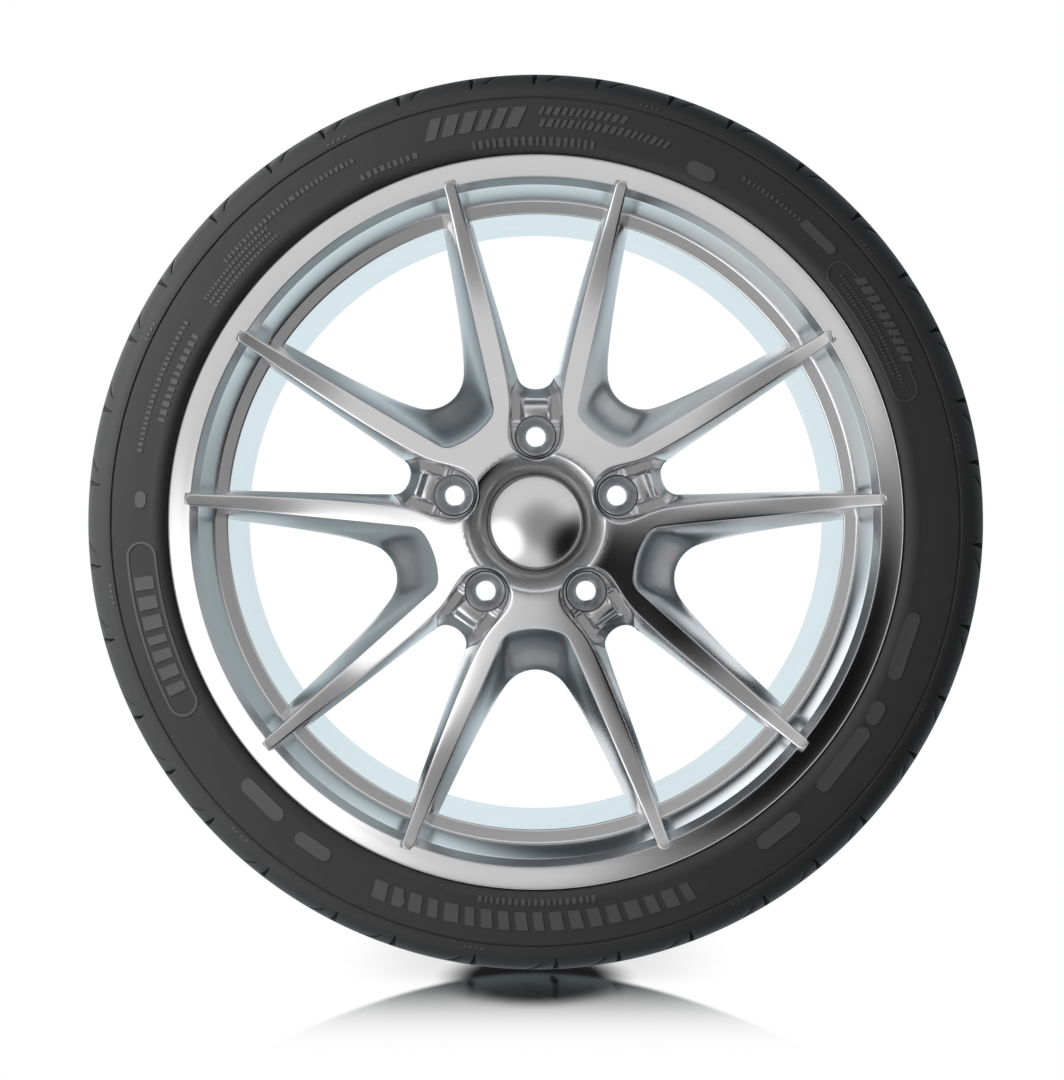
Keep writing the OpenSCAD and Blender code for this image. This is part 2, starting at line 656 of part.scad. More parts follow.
module valve_cap_seal() {
    color(rubber) at_valve() translate([0, 0, cap_inside + fit])
        cylinder(h = stem_end - cap_inside - 2 * fit, r = cap_thread_d / 2 - 0.2, $fn = 32);
}

module valve_cap() {
    inner = cap_thread_d / 2 + 0.1;
    outer = inner + cap_wall;
    ribs = 18;
    color(black_plastic) at_valve() difference() {
        union() {
            rotate_extrude($fn = 48) polygon([
                [0, cap_inside - 1.6], [outer - 1, cap_inside - 1.6], [outer, cap_inside - 0.6],
                [outer, cap_inside + cap_l - 1.6], [0, cap_inside + cap_l - 1.6]]);
            for (i = [0:ribs - 1]) rotate([0, 0, i * 360 / ribs])
                translate([outer - 0.3, -0.3, cap_inside]) cube([0.6, 0.6, cap_l - 3]);
        }
        translate([0, 0, cap_inside]) cylinder(h = cap_l, r = inner, $fn = 48);
    }
}

tyre();
wheel();
centre_cap();
cap_spring_ring();
valve_stem();
valve_grommet();
valve_washer();
valve_nut();
valve_core();
valve_core_seal();
valve_pin();
valve_spring();
valve_cap_seal();
valve_cap();
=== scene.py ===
import math

import bmesh
import bpy
import numpy as np
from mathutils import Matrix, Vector


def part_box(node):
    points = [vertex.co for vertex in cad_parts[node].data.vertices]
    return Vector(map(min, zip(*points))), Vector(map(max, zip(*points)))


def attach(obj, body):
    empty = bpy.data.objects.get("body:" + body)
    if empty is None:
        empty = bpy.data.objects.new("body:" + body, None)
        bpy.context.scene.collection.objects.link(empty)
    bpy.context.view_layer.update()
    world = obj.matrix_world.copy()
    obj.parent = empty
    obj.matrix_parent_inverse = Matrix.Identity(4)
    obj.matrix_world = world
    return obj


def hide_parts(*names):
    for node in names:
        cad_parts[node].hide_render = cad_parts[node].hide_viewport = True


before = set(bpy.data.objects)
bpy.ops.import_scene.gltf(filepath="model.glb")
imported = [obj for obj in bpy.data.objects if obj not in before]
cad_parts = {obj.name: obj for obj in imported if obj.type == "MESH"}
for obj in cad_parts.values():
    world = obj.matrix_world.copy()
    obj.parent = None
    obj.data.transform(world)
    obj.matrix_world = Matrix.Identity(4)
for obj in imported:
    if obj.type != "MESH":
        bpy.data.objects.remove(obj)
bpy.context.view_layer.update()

mm = 0.001
rng = np.random.default_rng(7)

# Everything below works in millimetres: x across, v outwards from the wheel's axis, d behind the lip's front.
wheelLow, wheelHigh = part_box("wheel")
tyreLow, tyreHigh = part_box("tyre")
lipFront = wheelLow.y / mm
lipRadius = (wheelHigh.x - wheelLow.x) / 2 / mm
# Bead seat's radius, rounding at its heel, flange's rounding, and half the width between the flanges
seatRadius, heelRound, flangeRound, halfWidth = 254.0, 6.5, 9.5, 107.95


def heading(degrees):
    # Unit direction in the wheel's plane, clockwise from straight up
    a = np.radians(degrees)
    return np.stack([np.sin(a), np.cos(a)], -1)


def even(count):
    # Evenly spaced shares from 0 to 1
    return np.linspace(0, 1, count + 1)


def straightRun(start, length, degrees, count):
    # Start plus shares of a length in one direction
    return start + even(count)[:, None] * length * heading(degrees)


def arcRun(centre, radius, start, end, count):
    # Centre plus radius times (cos, sin) of evenly spaced angles
    a = np.radians(np.linspace(start, end, count + 1))
    return np.asarray(centre, float) + radius * np.stack([np.cos(a), np.sin(a)], -1)


def bezierRun(points, count):
    # Bernstein sum: each control point weighted by its binomial share
    points = np.asarray(points, float)
    order = len(points) - 1
    t = even(count)[:, None]
    return sum(math.comb(order, k) * (1 - t) ** (order - k) * t ** k * points[k] for k in range(order + 1))


def chained(*runs):
    # Runs one after the other, without the points that repeat
    joined = np.concatenate(runs)
    return joined[np.r_[True, np.linalg.norm(np.diff(joined, axis=0), axis=1) > 1e-5]]


def alongRun(run, shares):
    # Points at shares of the run's own length; past the end the last step is carried on
    reach = np.r_[0, np.cumsum(np.linalg.norm(np.diff(run, axis=0), axis=1))]
    at = np.asarray(shares) * reach[-1]
    points = np.stack([np.interp(at, reach, run[:, k]) for k in range(run.shape[1])], -1)
    last = (run[-1] - run[-2]) / (reach[-1] - reach[-2])
    return points + np.clip(at - reach[-1], 0, None)[:, None] * last


def rightOf(run):
    # Unit normals on the right-hand side of the direction of travel
    step = np.gradient(run, axis=0)
    step /= np.linalg.norm(step, axis=1, keepdims=True)
    return np.stack([step[:, 1], -step[:, 0]], -1)


def smooth(value, low, high):
    # 3q^2 - 2q^3 of how far value has come from low to high
    q = np.clip((value - low) / (high - low), 0, 1)
    return q * q * (3 - 2 * q)


def coons(left, right, bottom, top):
    # Transfinite patch: ruled one way plus ruled the other way minus the corners' bilinear share.
    # Rows run from bottom to top, columns from left to right.
    t, s = even(len(left) - 1)[:, None, None], even(len(bottom) - 1)[None, :, None]
    across = (1 - s) * left[:, None] + s * right[:, None]
    along = (1 - t) * bottom[None] + t * top[None]
    corners = (1 - t) * ((1 - s) * bottom[0] + s * bottom[-1]) + t * ((1 - s) * top[0] + s * top[-1])
    return across + along - corners


def roundedCorner(first, corner, last, count):
    # Quadratic curve from first to last, pulled to the corner, for a whole run of corners at once
    t = even(count)[:, None, None]
    return (1 - t) ** 2 * first + 2 * t * (1 - t) * corner + t * t * last


def placed(grid):
    # (x, v, d) in millimetres to metres in the frame: x, lip front + d, v
    return np.stack([grid[..., 0], lipFront + grid[..., 2], grid[..., 1]], -1) * mm


def withDepth(plan, depth):
    # (x, v) points with their depths as the third value
    return np.concatenate([plan, depth[..., None]], -1)


def polar(r, a, d):
    # (x, v, d) from a radius, an angle clockwise from straight up, and a depth
    return np.stack([r * np.sin(a), r * np.cos(a), d + 0 * a], -1)


def turnedGrid(profile, count):
    # Profile of (radius, d) turned round the wheel's axis; the last column meets the first
    return polar(profile[:, :1], np.linspace(0, 2 * np.pi, count + 1), profile[:, 1:])


def gridQuads(rows, columns, offset):
    # Four corners of each cell of a grid whose points are numbered row by row from offset
    i = np.arange(rows - 1)[:, None] * columns + np.arange(columns - 1)[None] + offset
    return np.stack([i, i + 1, i + columns + 1, i + columns], -1).reshape(-1, 4)


def meshPiece(name, grids, body, replaces=(), weld=0.004, sharp=32):
    # Joins grids of (x, v, d) points, or (points, faces) pairs, into one closed mesh: equal points are merged
    # and faces turned outwards
    vertices, faces, offset = [], [], 0
    for grid in grids:
        if isinstance(grid, tuple):
            points, own = grid[0], [[i + offset for i in face] for face in grid[1]]
        else:
            points, own = grid.reshape(-1, 3), gridQuads(*grid.shape[:2], offset).tolist()
        vertices.append(placed(points))
        faces += own
        offset += len(points)
    mesh = bpy.data.meshes.new(name)
    mesh.from_pydata(np.concatenate(vertices), [], faces)
    work = bmesh.new()
    work.from_mesh(mesh)
    bmesh.ops.remove_doubles(work, verts=work.verts, dist=weld * mm)
    bmesh.ops.dissolve_degenerate(work, edges=work.edges, dist=1e-7)
    bmesh.ops.recalc_face_normals(work, faces=work.faces)
    openEdges = sum(1 for e in work.edges if len(e.link_faces) != 2)
    work.to_mesh(mesh)
    work.free()
    mesh.polygons.foreach_set("use_smooth", np.ones(len(mesh.polygons), bool))
    mesh.set_sharp_from_angle(angle=math.radians(sharp))
    mesh.update()
    piece = bpy.data.objects.new(name, mesh)
    bpy.context.scene.collection.objects.link(piece)
    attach(piece, body)
    if replaces:
        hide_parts(*replaces)
    triangles = sum(len(p.vertices) - 2 for p in mesh.polygons)
    print(f"{name}: {triangles} triangles, {openEdges} open or shared edges")
    return piece


# Wheel

wheel = {
    "boltRadius": 65,          # from the axis to a bolt hole
    "hubDepth": 21.2,          # hub's front behind the lip's front
    "tipDepth": 0.95,          # spoke tips behind the lip's front
    "ringRadius": 54,          # outer radius of the hollow ring round the cap
    "ringDeep": 8.2,
    "capRadius": 34.6,
    "edgeRound": 1.3,          # rounding of the spokes' front edges
    "rearRound": 2.2,
    "crown": 0.25,             # how much a spoke's front is raised along its middle
    "noseRadius": 4.5,
    "noseReach": 259.2,        # from the axis to a spoke's tip
    "noseHeading": 14.33,
    "scoop": 4.5,              # hollow of the wide openings' floors
    "padDepth": 67.7,          # mounting face
    "floorDepth": 44.0,        # floor of the bolt pockets
    "wellDepth": 51.0,
    "saddleDepth": 42.3,
    "holeRadius": 8.4,         # bolt hole's edge at the mounting face
    "bossRadius": 15.9,        # boss round a bolt hole at the pocket's floor
    "boreEdge": 37.3,          # hub bore's edge at the mounting face
    "rearPlan": 58.0,          # depth at which the spokes' backs are laid out
    "hollowDepth": 10,         # behind the wide openings' floors
    "channelDepth": 9,         # along the backs of the spokes
    "channelTilt": 14.9,
    "barrelSteps": 280,
    # shading normals: on the spokes' front by radius, on the lip by radius, on the spokes' sides and in the
    # cove by depth; then where each of them holds
    "leanRadii": (34, 37, 44, 48, 54, 60, 130, 165, 205, 230, 262),
    "leanSlopes": (-1.5, -1.35, -1.7, -1.55, 0.30, 0.46, 0.46, 0.32, 0.07, -0.15, -0.22),
    "lipRadii": (253.4, 254.9, 255.5, 256.4, 259.1, 261.4, 263.9, 267.4, 269.8, 270.5),
    "lipTilts": (-63.5, -62, 12, 22, 25, 23, 20, 17, 14, -22),
    "sideDepths": (1, 6, 25, 45),
    "sideLeans": (0.54, 0.50, 0.40, 0.30),
    "coveDepths": (13, 45),
    "coveSlopes": (0.29, 0.62),
    "spokesWithin": 252.5,
    "sideRadii": (58, 231),
    "coveRadii": (243.9, 250.8),
    "coveRange": (12.8, 45.5),
    "lipFrom": (250.4, 250.9),
    "lipBack": 12.2,
    "barrelWithin": 232,
    "barrelBehind": 49,
}
armTurn = 36                   # from a bolt's middle line to the middle line of the next wide opening
armAxis = heading(armTurn)
armSide = np.array([armAxis[1], -armAxis[0]])


def fromArm(points):
    # Points given from the wide opening's middle line (distance towards the bolt, outwards)
    return points[:, 1:] * armAxis - points[:, :1] * armSide


def frontDepth(points):
    # Dish: straight from the hub's front to the spoke tips, slightly bowed, with a hollow ring at the cap
    w = wheel
    r = np.hypot(points[..., 0], points[..., 1])
    out = np.clip(r - w["ringRadius"], 0, None) / (w["noseReach"] - w["ringRadius"])
    ring = np.clip((w["ringRadius"] - r) / (w["ringRadius"] - w["capRadius"]), 0, 1)
    return w["hubDepth"] + (w["tipDepth"] - w["hubDepth"]) * out ** 1.12 + w["ringDeep"] * ring ** 2.4


def rearDepth(points):
    # Mounting face, a soft step down to the backs of the spokes, a hollow between two bolts and a channel
    # along each spoke's back
    w = wheel
    x, v = points[..., 0], points[..., 1]
    r = np.hypot(x, v)
    back = np.interp(r, [60, 92, 99, 150, 300], [59.5, 61.2, 60, 56, 56])
    d = back + (w["padDepth"] - back) * (1 - smooth(r, 78, 92))
    turn = np.abs(np.degrees(np.arctan2(x, v)) - armTurn)
    hollow = (1 - smooth(turn, 8, 18)) * smooth(r, 44, 56) * (1 - smooth(r, 64, 77))
    s, c = heading(w["channelTilt"])
    across, reach = x * c - v * s - 1.6, x * s + v * c
    half = np.interp(reach, [126, 222], [8, 6])
    channel = (1 - smooth(np.abs(across), 0, half)) * smooth(reach, 124, 134) * (1 - smooth(reach, 208, 222))
    return d - w["hollowDepth"] * hollow - w["channelDepth"] * channel


def pocketDepth(points):
    # Floor beyond a bolt: two deep wells beside a raised saddle that falls away at its outer end
    w = wheel
    x, v = np.abs(points[..., 0]), points[..., 1]
    out = smooth(v, 70, 77)
    beside = smooth(x, 9.9, 11.9)
    saddle = w["saddleDepth"] + 1.1 * (x / 10) ** 2 + 5.5 * smooth(v, 87.5, 94)
    saddle = saddle - 0.9 * np.sin(np.clip((v - 79) / 10, 0, 1) * np.pi)
    land = saddle * (1 - beside) + w["wellDepth"] * beside
    return w["floorDepth"] * (1 - out) + land * out


def barrelEnd(d):
    # Radius at which a spoke ends inside the barrel's wall
    return np.interp(d, [3.2, 8, 13, 45, 52, 60], [255.9, 254.3, 253.2, 246.4, 236.1, 236.1])


def frontLoop():
    # Front edge from the bolt's middle line round the pocket, past its step, out along the spoke, round its
    # tip and back along the wide opening's side and floor to its middle line, as six dense runs
    w = wheel
    centre = (w["noseReach"] - w["noseRadius"]) * heading(w["noseHeading"])
    nose = arcRun(centre, w["noseRadius"], 180 - w["noseHeading"], -w["noseHeading"], 40)
    pocket = chained(
        arcRun([0, w["boltRadius"] + 1.8], 20.7, -90, 0, 60),
        bezierRun([[20.7, 66.8], [20.7, 76], [19.1, 82.6], [19.7, 92]], 40),
        bezierRun([[19.7, 92], [22.6, 127], nose[0]], 400))
    split = np.argmin(np.abs(pocket[:, 1] - 99.5) + 100 * (pocket[:, 0] < 15))
    stepEnd = np.argmin(np.abs(pocket[:, 1] - 112.5))
    floor = chained(
        arcRun([0, 140], 60, -90, -73, 30),
        arcRun([14.03, 94.10], 12, -73, -23.6, 30))
    straight = fromArm(straightRun(floor[-1], 157, 23.6, 199))
    outer = chained(straight, bezierRun([straight[-1], straight[-1] + 5 * heading(12.4), nose[-1]], 20))
    return (pocket[:split + 1], pocket[split:stepEnd + 1], pocket[stepEnd:], nose,
            outer[::-1], fromArm(floor)[::-1])


def rearLoop():
    # Rear edges at the spokes' backs: the web, the side to the barrel, and the wide opening's side and floor
    web = chained(arcRun([0, 121.4], 19, -90, -60, 40), arcRun([5.0, 112.74], 9, -60, -16.5, 40))
    side = straightRun(web[-1], 160, 16.5, 299)
    floor = arcRun([0, 141], 27.2, -90, -40, 60)
    turn = floor[-1] + 21.7 * heading(40)
    wide = bezierRun([floor[-1], turn, turn + 74 * heading(25.5)], 200)
    wide = chained(wide, straightRun(wide[-1], 80, 25.5, 99))
    return web, side, fromArm(wide)[::-1], fromArm(floor)[::-1]


def trimmed(run, radius):
    # The part of a run that lies within a radius, ending exactly on it
    r = np.hypot(run[:, 0], run[:, 1])
    k = np.argmax(r > radius)
    f = (radius - r[k - 1]) / (r[k] - r[k - 1])
    return np.concatenate([run[:k], [run[k - 1] + f * (run[k] - run[k - 1])]])


def halfSector():
    # All surfaces of the disc between a bolt's middle line and the next wide opening's middle line
    w = wheel
    nHub, nPocket, nStep, nInner, nNose, nOuter, nFloor, nTop = 5, 30, 6, 36, 12, 42, 18, 12
    nRound, nWall = 4, 9
    counts = (nPocket, nStep, nInner, nNose, nOuter, nFloor)
    stretches = zip(frontLoop(), counts)
    front = chained(*[alongRun(run, even(n)) for run, n in stretches])
    columns = len(front)
    front[0, 0] = 0
    cuts = np.cumsum((0,) + counts)

    def sheet(radius, left, loop, tip):
        # Front or back face from a circle round the axis out to the spoke's tip, and the number of cells
        # along the wide opening's middle line
        arm = len(left) - 1 - nFloor - nOuter
        middle = np.linspace(radius, np.linalg.norm(loop[-1]), arm + 1)[:, None] * armAxis
        bottom = radius * heading(np.linspace(0, armTurn, nNose + 1))
        right = chained(middle, loop[tip + nNose:][::-1])
        return coons(left, right, bottom, loop[tip:tip + nNose + 1]), arm

    def border(grid, first, arm, inner=0):
        # Such a face's points along its loop, or the ones that lie inner cells further in
        return np.concatenate([grid[first:, inner], grid[-1 - inner, 1:-1], grid[arm:, -1 - inner][::-1]])

    # front face
    normal = rightOf(front)
    normal[0], normal[-1] = [0, -1], -armAxis
    size = np.full(columns, w["edgeRound"])
    inset = front + normal * size[:, None]
    inset[0, 0] = 0
    hubLine = np.linspace(w["capRadius"], inset[0, 1], nHub + 1)[:, None] * [0, 1]
    left = chained(hubLine, inset[:cuts[3] + 1])
    face, arm = sheet(w["capRadius"], left, inset, cuts[3])
    t, s = even(len(left) - 1)[:, None], even(nNose)[None]
    crown = w["crown"] * 4 * s * (1 - s) * smooth(t, 0.42, 0.62) * (1 - smooth(t, 0.9, 1.0))
    face = withDepth(face, frontDepth(face) - crown)

    # the run of front points along the loop, and the one beside it, for the slope at the edge
    edge, beside = border(face, nHub, arm), border(face, nHub, arm, 1)
    flat = np.linalg.norm(edge[:, :2] - beside[:, :2], axis=1)
    slope = np.clip((edge[:, 2] - beside[:, 2]) / flat, -0.3, 0.35)
    slope[cuts[3] - 1:cuts[4] + 2] = 0
    corner = withDepth(front, edge[:, 2] + slope * size)

    # rear edges
    web, side, wide, wideFloor = rearLoop()
    rearRadius = barrelEnd(w["rearPlan"])
    side = trimmed(side, rearRadius)
    wide = trimmed(wide[::-1], rearRadius)[::-1]
    a, b = [np.degrees(np.arctan2(p[0], p[1])) for p in (side[-1], wide[0])]
    rearNose = rearRadius * heading(np.linspace(a, b, nNose + 1))
    rear = chained(alongRun(side, even(nInner) ** 1.08), rearNose, alongRun(wide, even(nOuter)),
                   alongRun(wideFloor, even(nFloor)))
    rear = withDepth(rear, rearDepth(rear))
    outline = alongRun(chained(
        arcRun([0, 66.8], 17.8, -90, 0, 60),
        bezierRun([[17.8, 66.8], [18.2, 84], [17.6, 99.5]], 40)), even(nPocket))
    outline[0, 0] = 0
    outline = withDepth(outline, pocketDepth(outline))
    stepDown = bezierRun([outline[-1], [15.6, 104.5, 55.5], rear[0]], nStep)
    foot = np.concatenate([outline, stepDown[1:], rear[1:]])

    # walls: straight rulings from corner to foot, hollowed towards the metal
    length = np.linalg.norm(foot - corner, axis=1)
    k = np.arange(columns)
    stations = [0, cuts[1], cuts[2], cuts[3] - 8, cuts[4], cuts[5] - 14, cuts[5] + 6, columns - 1]
    hollow = np.interp(k, stations, [0.3, 0.3, 0.8, 0.5, 0.6, 1.8, w["scoop"], w["scoop"]])
    rearSize = w["rearRound"] * smooth(k, cuts[2] + 1, cuts[2] + 7)
    top, low = size / length, 1 - rearSize / length

    def wallRow(share):
        plan = corner + (foot - corner) * share[:, None]
        plan[:, :2] += (hollow * 4 * share * (1 - share) ** 1.4)[:, None] * normal
        return plan

    rows = [wallRow(top + (low - top) * f) for f in even(nWall)]
    wall = np.stack(rows[:1] + [fittedToBarrel(row, cuts) for row in rows[1:]])
    wall[:, 0, 0] = 0
    grids = [face, roundedCorner(edge, corner, wall[0], nRound), wall]

    # back face
    normalRear = rightOf(foot[cuts[2]:, :2])
    normalRear[-1] = -armAxis
    webEdge = alongRun(web, even(nTop))
    webEdge = withDepth(webEdge, rearDepth(webEdge))
    webSize = w["rearRound"] * (1 - smooth(np.arange(nTop + 1), 4, nTop))
    webNormal = rightOf(webEdge[:, :2])
    webNormal[0] = [0, -1]
    webIn = webEdge[:, :2] + webNormal * webSize[:, None]
    webIn[0, 0] = 0
    rearIn = foot[cuts[2]:, :2] + normalRear * rearSize[cuts[2]:, None]
    bolt, angles, boreEdge = [0, w["boltRadius"]], holeAngles(outline, nTop), w["boreEdge"]
    around = np.stack([np.cos(angles), np.sin(angles)], -1)
    around[0], around[-1] = [0, -1], [0, 1]
    holeRun = bolt + w["holeRadius"] * around
    inLine = np.linspace(boreEdge, holeRun[0, 1], 5)[:, None] * [0, 1]
    outLine = np.linspace(holeRun[-1, 1], webIn[0, 1], 7)[:, None] * [0, 1]
    leftRear = chained(inLine, holeRun, outLine, webIn, rearIn[:nInner + 1])
    back, arm = sheet(boreEdge, leftRear, rearIn, nInner)
    back = withDepth(back, rearDepth(back))
    grids += [back, roundedCorner(wall[-1, cuts[2]:], foot[cuts[2]:], border(back, -nInner - 1, arm), 3)]

    # web between the pocket and the narrow opening
    topEdge = alongRun(bezierRun([outline[-1, :2], [10, 94], [0, 94]], 60), even(nTop))
    topEdge[-1, 0] = 0
    topEdge = withDepth(topEdge, pocketDepth(topEdge))
    webUp = topEdge[::-1] - webEdge
    webUp *= (webSize / np.linalg.norm(webUp, axis=1))[:, None]
    webLow = (webEdge + webUp)[::-1]
    middle = even(nStep)[:, None] * (webLow[-1] - topEdge[-1]) + topEdge[-1]
    first = len(inLine) + len(holeRun) + len(outLine) - 3
    grids += [coons(wall[-1, cuts[1]:cuts[2] + 1], middle, topEdge, webLow),
              roundedCorner(webLow[::-1], webEdge, back[first:first + nTop + 1, 0], 3)]

    # pocket floor round the bolt's boss
    floorEdge = np.concatenate([wall[-1, :nPocket + 1], topEdge[1:]])
    f = even(14)[:, None, None]
    floorPlan = (bolt + w["bossRadius"] * around)[None] * (1 - f) + floorEdge[None, :, :2] * f
    pocketFloor = withDepth(floorPlan, pocketDepth(floorPlan))
    pocketFloor[-1] = floorEdge

    # boss, cone seat and bolt hole
    seat = np.array([
        [15.6, 41.4], [15.35, 40.6], [15.0, 40.3], [14.7, 40.35], [14.45, 40.7], [14.3, 41.3], [14.3, 42.9],
        [13.9, 43.6], [8.0, 53.8], [7.5, 54.9], [7.5, 66.8], [w["holeRadius"], w["padDepth"]]])
    boss = withDepth(bolt + seat[:, :1, None] * around, np.broadcast_to(seat[:, 1:], (len(seat), len(angles))))
    grids += [pocketFloor, np.concatenate([pocketFloor[:1], boss])]

    # cap seat, cap bore and hub bore
    hub = w["hubDepth"]
    bore = np.array([
        [w["capRadius"], hub + 9.3], [34.2, hub + 9.6], [30.6, hub + 9.6], [30, 31.4], [30, 47.2], [30.5, 47.7],
        [35.3, 47.7], [35.8, 48.2], [35.8, 66.2], [boreEdge, w["padDepth"]]])
    fan = heading(np.linspace(0, armTurn, nNose + 1))
    rows = withDepth(bore[:, :1, None] * fan, np.broadcast_to(bore[:, 1:], (len(bore), nNose + 1)))
    return grids + [np.concatenate([face[:1], rows])]


def holeAngles(outline, nTop):
    # Directions from the bolt to the pocket's outline, and on to the middle line beyond the saddle
    w, corner, straight = wheel, math.radians(39), 11.6
    side = np.arctan2(outline[:, 1] - w["boltRadius"], outline[:, 0])
    side[0] = -np.pi / 2
    share, past = even(len(outline) - 1), np.argmax(side > 0)
    phi = np.where(share <= share[past], side, np.interp(share, [share[past], 1], [side[past], corner]))
    x = np.linspace(outline[-1, 0], 0, nTop + 1)
    onArc = np.arccos(np.clip(x / w["bossRadius"], -1, 1))
    onward = np.interp(x, [straight, outline[-1, 0]], [math.acos(straight / w["bossRadius"]), corner])
    upper = np.where(x < straight, onArc, onward)
    upper[-1] = np.pi / 2
    return np.r_[phi, upper[1:]]


def fittedToBarrel(row, cuts):
    # Slides a row of wall points along itself so that both sides end inside the barrel's wall, and lays
    # the points round the tip on that wall
    row = row.copy()
    for ids in (np.arange(cuts[2], cuts[3] + 1), np.arange(cuts[5], cuts[4] - 1, -1)):
        run = row[ids]
        far = run[-1] + (run[-1] - run[-2]) * np.linspace(0.5, 8, 16)[:, None]
        dense = np.concatenate([run, far])
        r = np.hypot(dense[:, 0], dense[:, 1])
        end = barrelEnd(dense[:, 2])
        k = np.argmax(r > end)
        f = (end[k - 1] - r[k - 1]) / ((r[k] - end[k]) + (end[k - 1] - r[k - 1]))
        stop = dense[k - 1] + f * (dense[k] - dense[k - 1])
        row[ids] = alongRun(np.concatenate([dense[:k], [stop]]), shareOf(run))
    a, b = row[cuts[3]], row[cuts[4]]
    q = even(cuts[4] - cuts[3])
    turn = np.degrees(np.arctan2(a[0], a[1])) * (1 - q) + np.degrees(np.arctan2(b[0], b[1])) * q
    radius = np.hypot(a[0], a[1]) * (1 - q) + np.hypot(b[0], b[1]) * q
    row[cuts[3]:cuts[4] + 1] = withDepth(radius[:, None] * heading(turn), a[2] + (b[2] - a[2]) * q)
    return row


def shareOf(run):
    # Length up to each point over the whole length
    reach = np.r_[0, np.cumsum(np.linalg.norm(np.diff(run, axis=0), axis=1))]
    return reach / reach[-1]


def mirroredGrid(grid):
    # The other half of a sector, across the bolt's middle line
    return grid * np.array([-1, 1, 1])


def turnedAbout(grid, degrees):
    # (x, v) turned clockwise round the wheel's axis
    a = math.radians(degrees)
    x, v = grid[..., 0], grid[..., 1]
    return np.stack([x * math.cos(a) + v * math.sin(a), v * math.cos(a) - x * math.sin(a), grid[..., 2]], -1)


def rimProfile():
    # Section of the barrel with its lips, bead seats and drop centre, as (radius, d), round and closed
    r, lip = lipRadius, 12.75
    width = 2 * halfWidth + 2 * lip
    well = seatRadius - 15.4
    inner = well - 5
    at = lambda radius, d, points: np.array([radius, d]) + points

    def outside(front):
        # tyre side of a flange, from its lip to behind the bead's hump
        run = chained(
            arcRun([r - flangeRound, flangeRound], flangeRound, -8 if front else 0, -90, 14),
            arcRun([seatRadius + heelRound, -heelRound], heelRound, 90, 180, 10),
            at(seatRadius, 0, [[-1.5, -17], [-1.75, -20.4], [-1.3, -21.6], [-0.6, -23], [-0.55, -24], [-1.2, -25.6],
                               [-1.9, -27]]))
        return np.stack([run[:, 0], lip - run[:, 1] if front else width - lip + run[:, 1]], -1)

    face = chained(
        at(r, 0, [[-20.6, 12.45], [-20.45, 12.0], [-20.3, 11.5], [-19.3, 8.6], [-18.4, 6.0]]),
        bezierRun(at(r, 0, [[-18.4, 6.0], [-16.6, 1.9], [-12, 1.0], [-7, 0.02]]), 24)[1:],
        bezierRun(at(r, 0, [[-6.6, 0.0], [-5, 0.2], [-3, 0.6], [-1.5, 1.1]]), 8),
        bezierRun(at(r, 0, [[-1.5, 1.1], [-0.35, 1.5], [-0.09, 2.8]]), 6)[1:])
    front = chained(face, outside(True))
    middle = at(well, 0, [[9, 48.5], [3.4, 54], [1, 57.4], [0, 61], [0, 98], [0.8, 102], [7.4, 122], [8.6, 130],
                          [9.2, 190], [9.5, 208]])
    rearLip = chained(
        arcRun([r - 1.8, width - 1.8], 1.8, 0, 90, 5), [[r - 9, width]],
        at(inner, width, [[15.2, -6.7], [13.8, -8], [9.6, -13.4], [8.6, -15.2], [8.4, -18]]))
    inside = at(inner, 0, [[7.6, 160], [6.9, 141], [6.2, 134], [0.8, 103.4], [0, 99.5], [0, 49.2], [0, 48.6],
                           [0.2, 47.8], [0.7, 47.3], [1.4, 47.05], [9.0, 46.4], [9.8, 46.1], [10.4, 45.5]])
    cove = chained(bezierRun([inside[-1], [r - 20.85, 13.4]], 12), at(r, 0, [[-20.8, 12.9], [-20.7, 12.6]]))
    return chained(front, middle, outside(False)[::-1], rearLip, inside, cove, front[:1])


print("wheel")
half = halfSector()
grids = [turnedAbout(part, 72 * sector) for sector in range(5) for grid in half
         for part in (grid, mirroredGrid(grid))]
grids.append(turnedGrid(rimProfile(), wheel["barrelSteps"]))
wheelPiece = meshPiece("wheel_casting", grids, "wheel_body", ["wheel"])


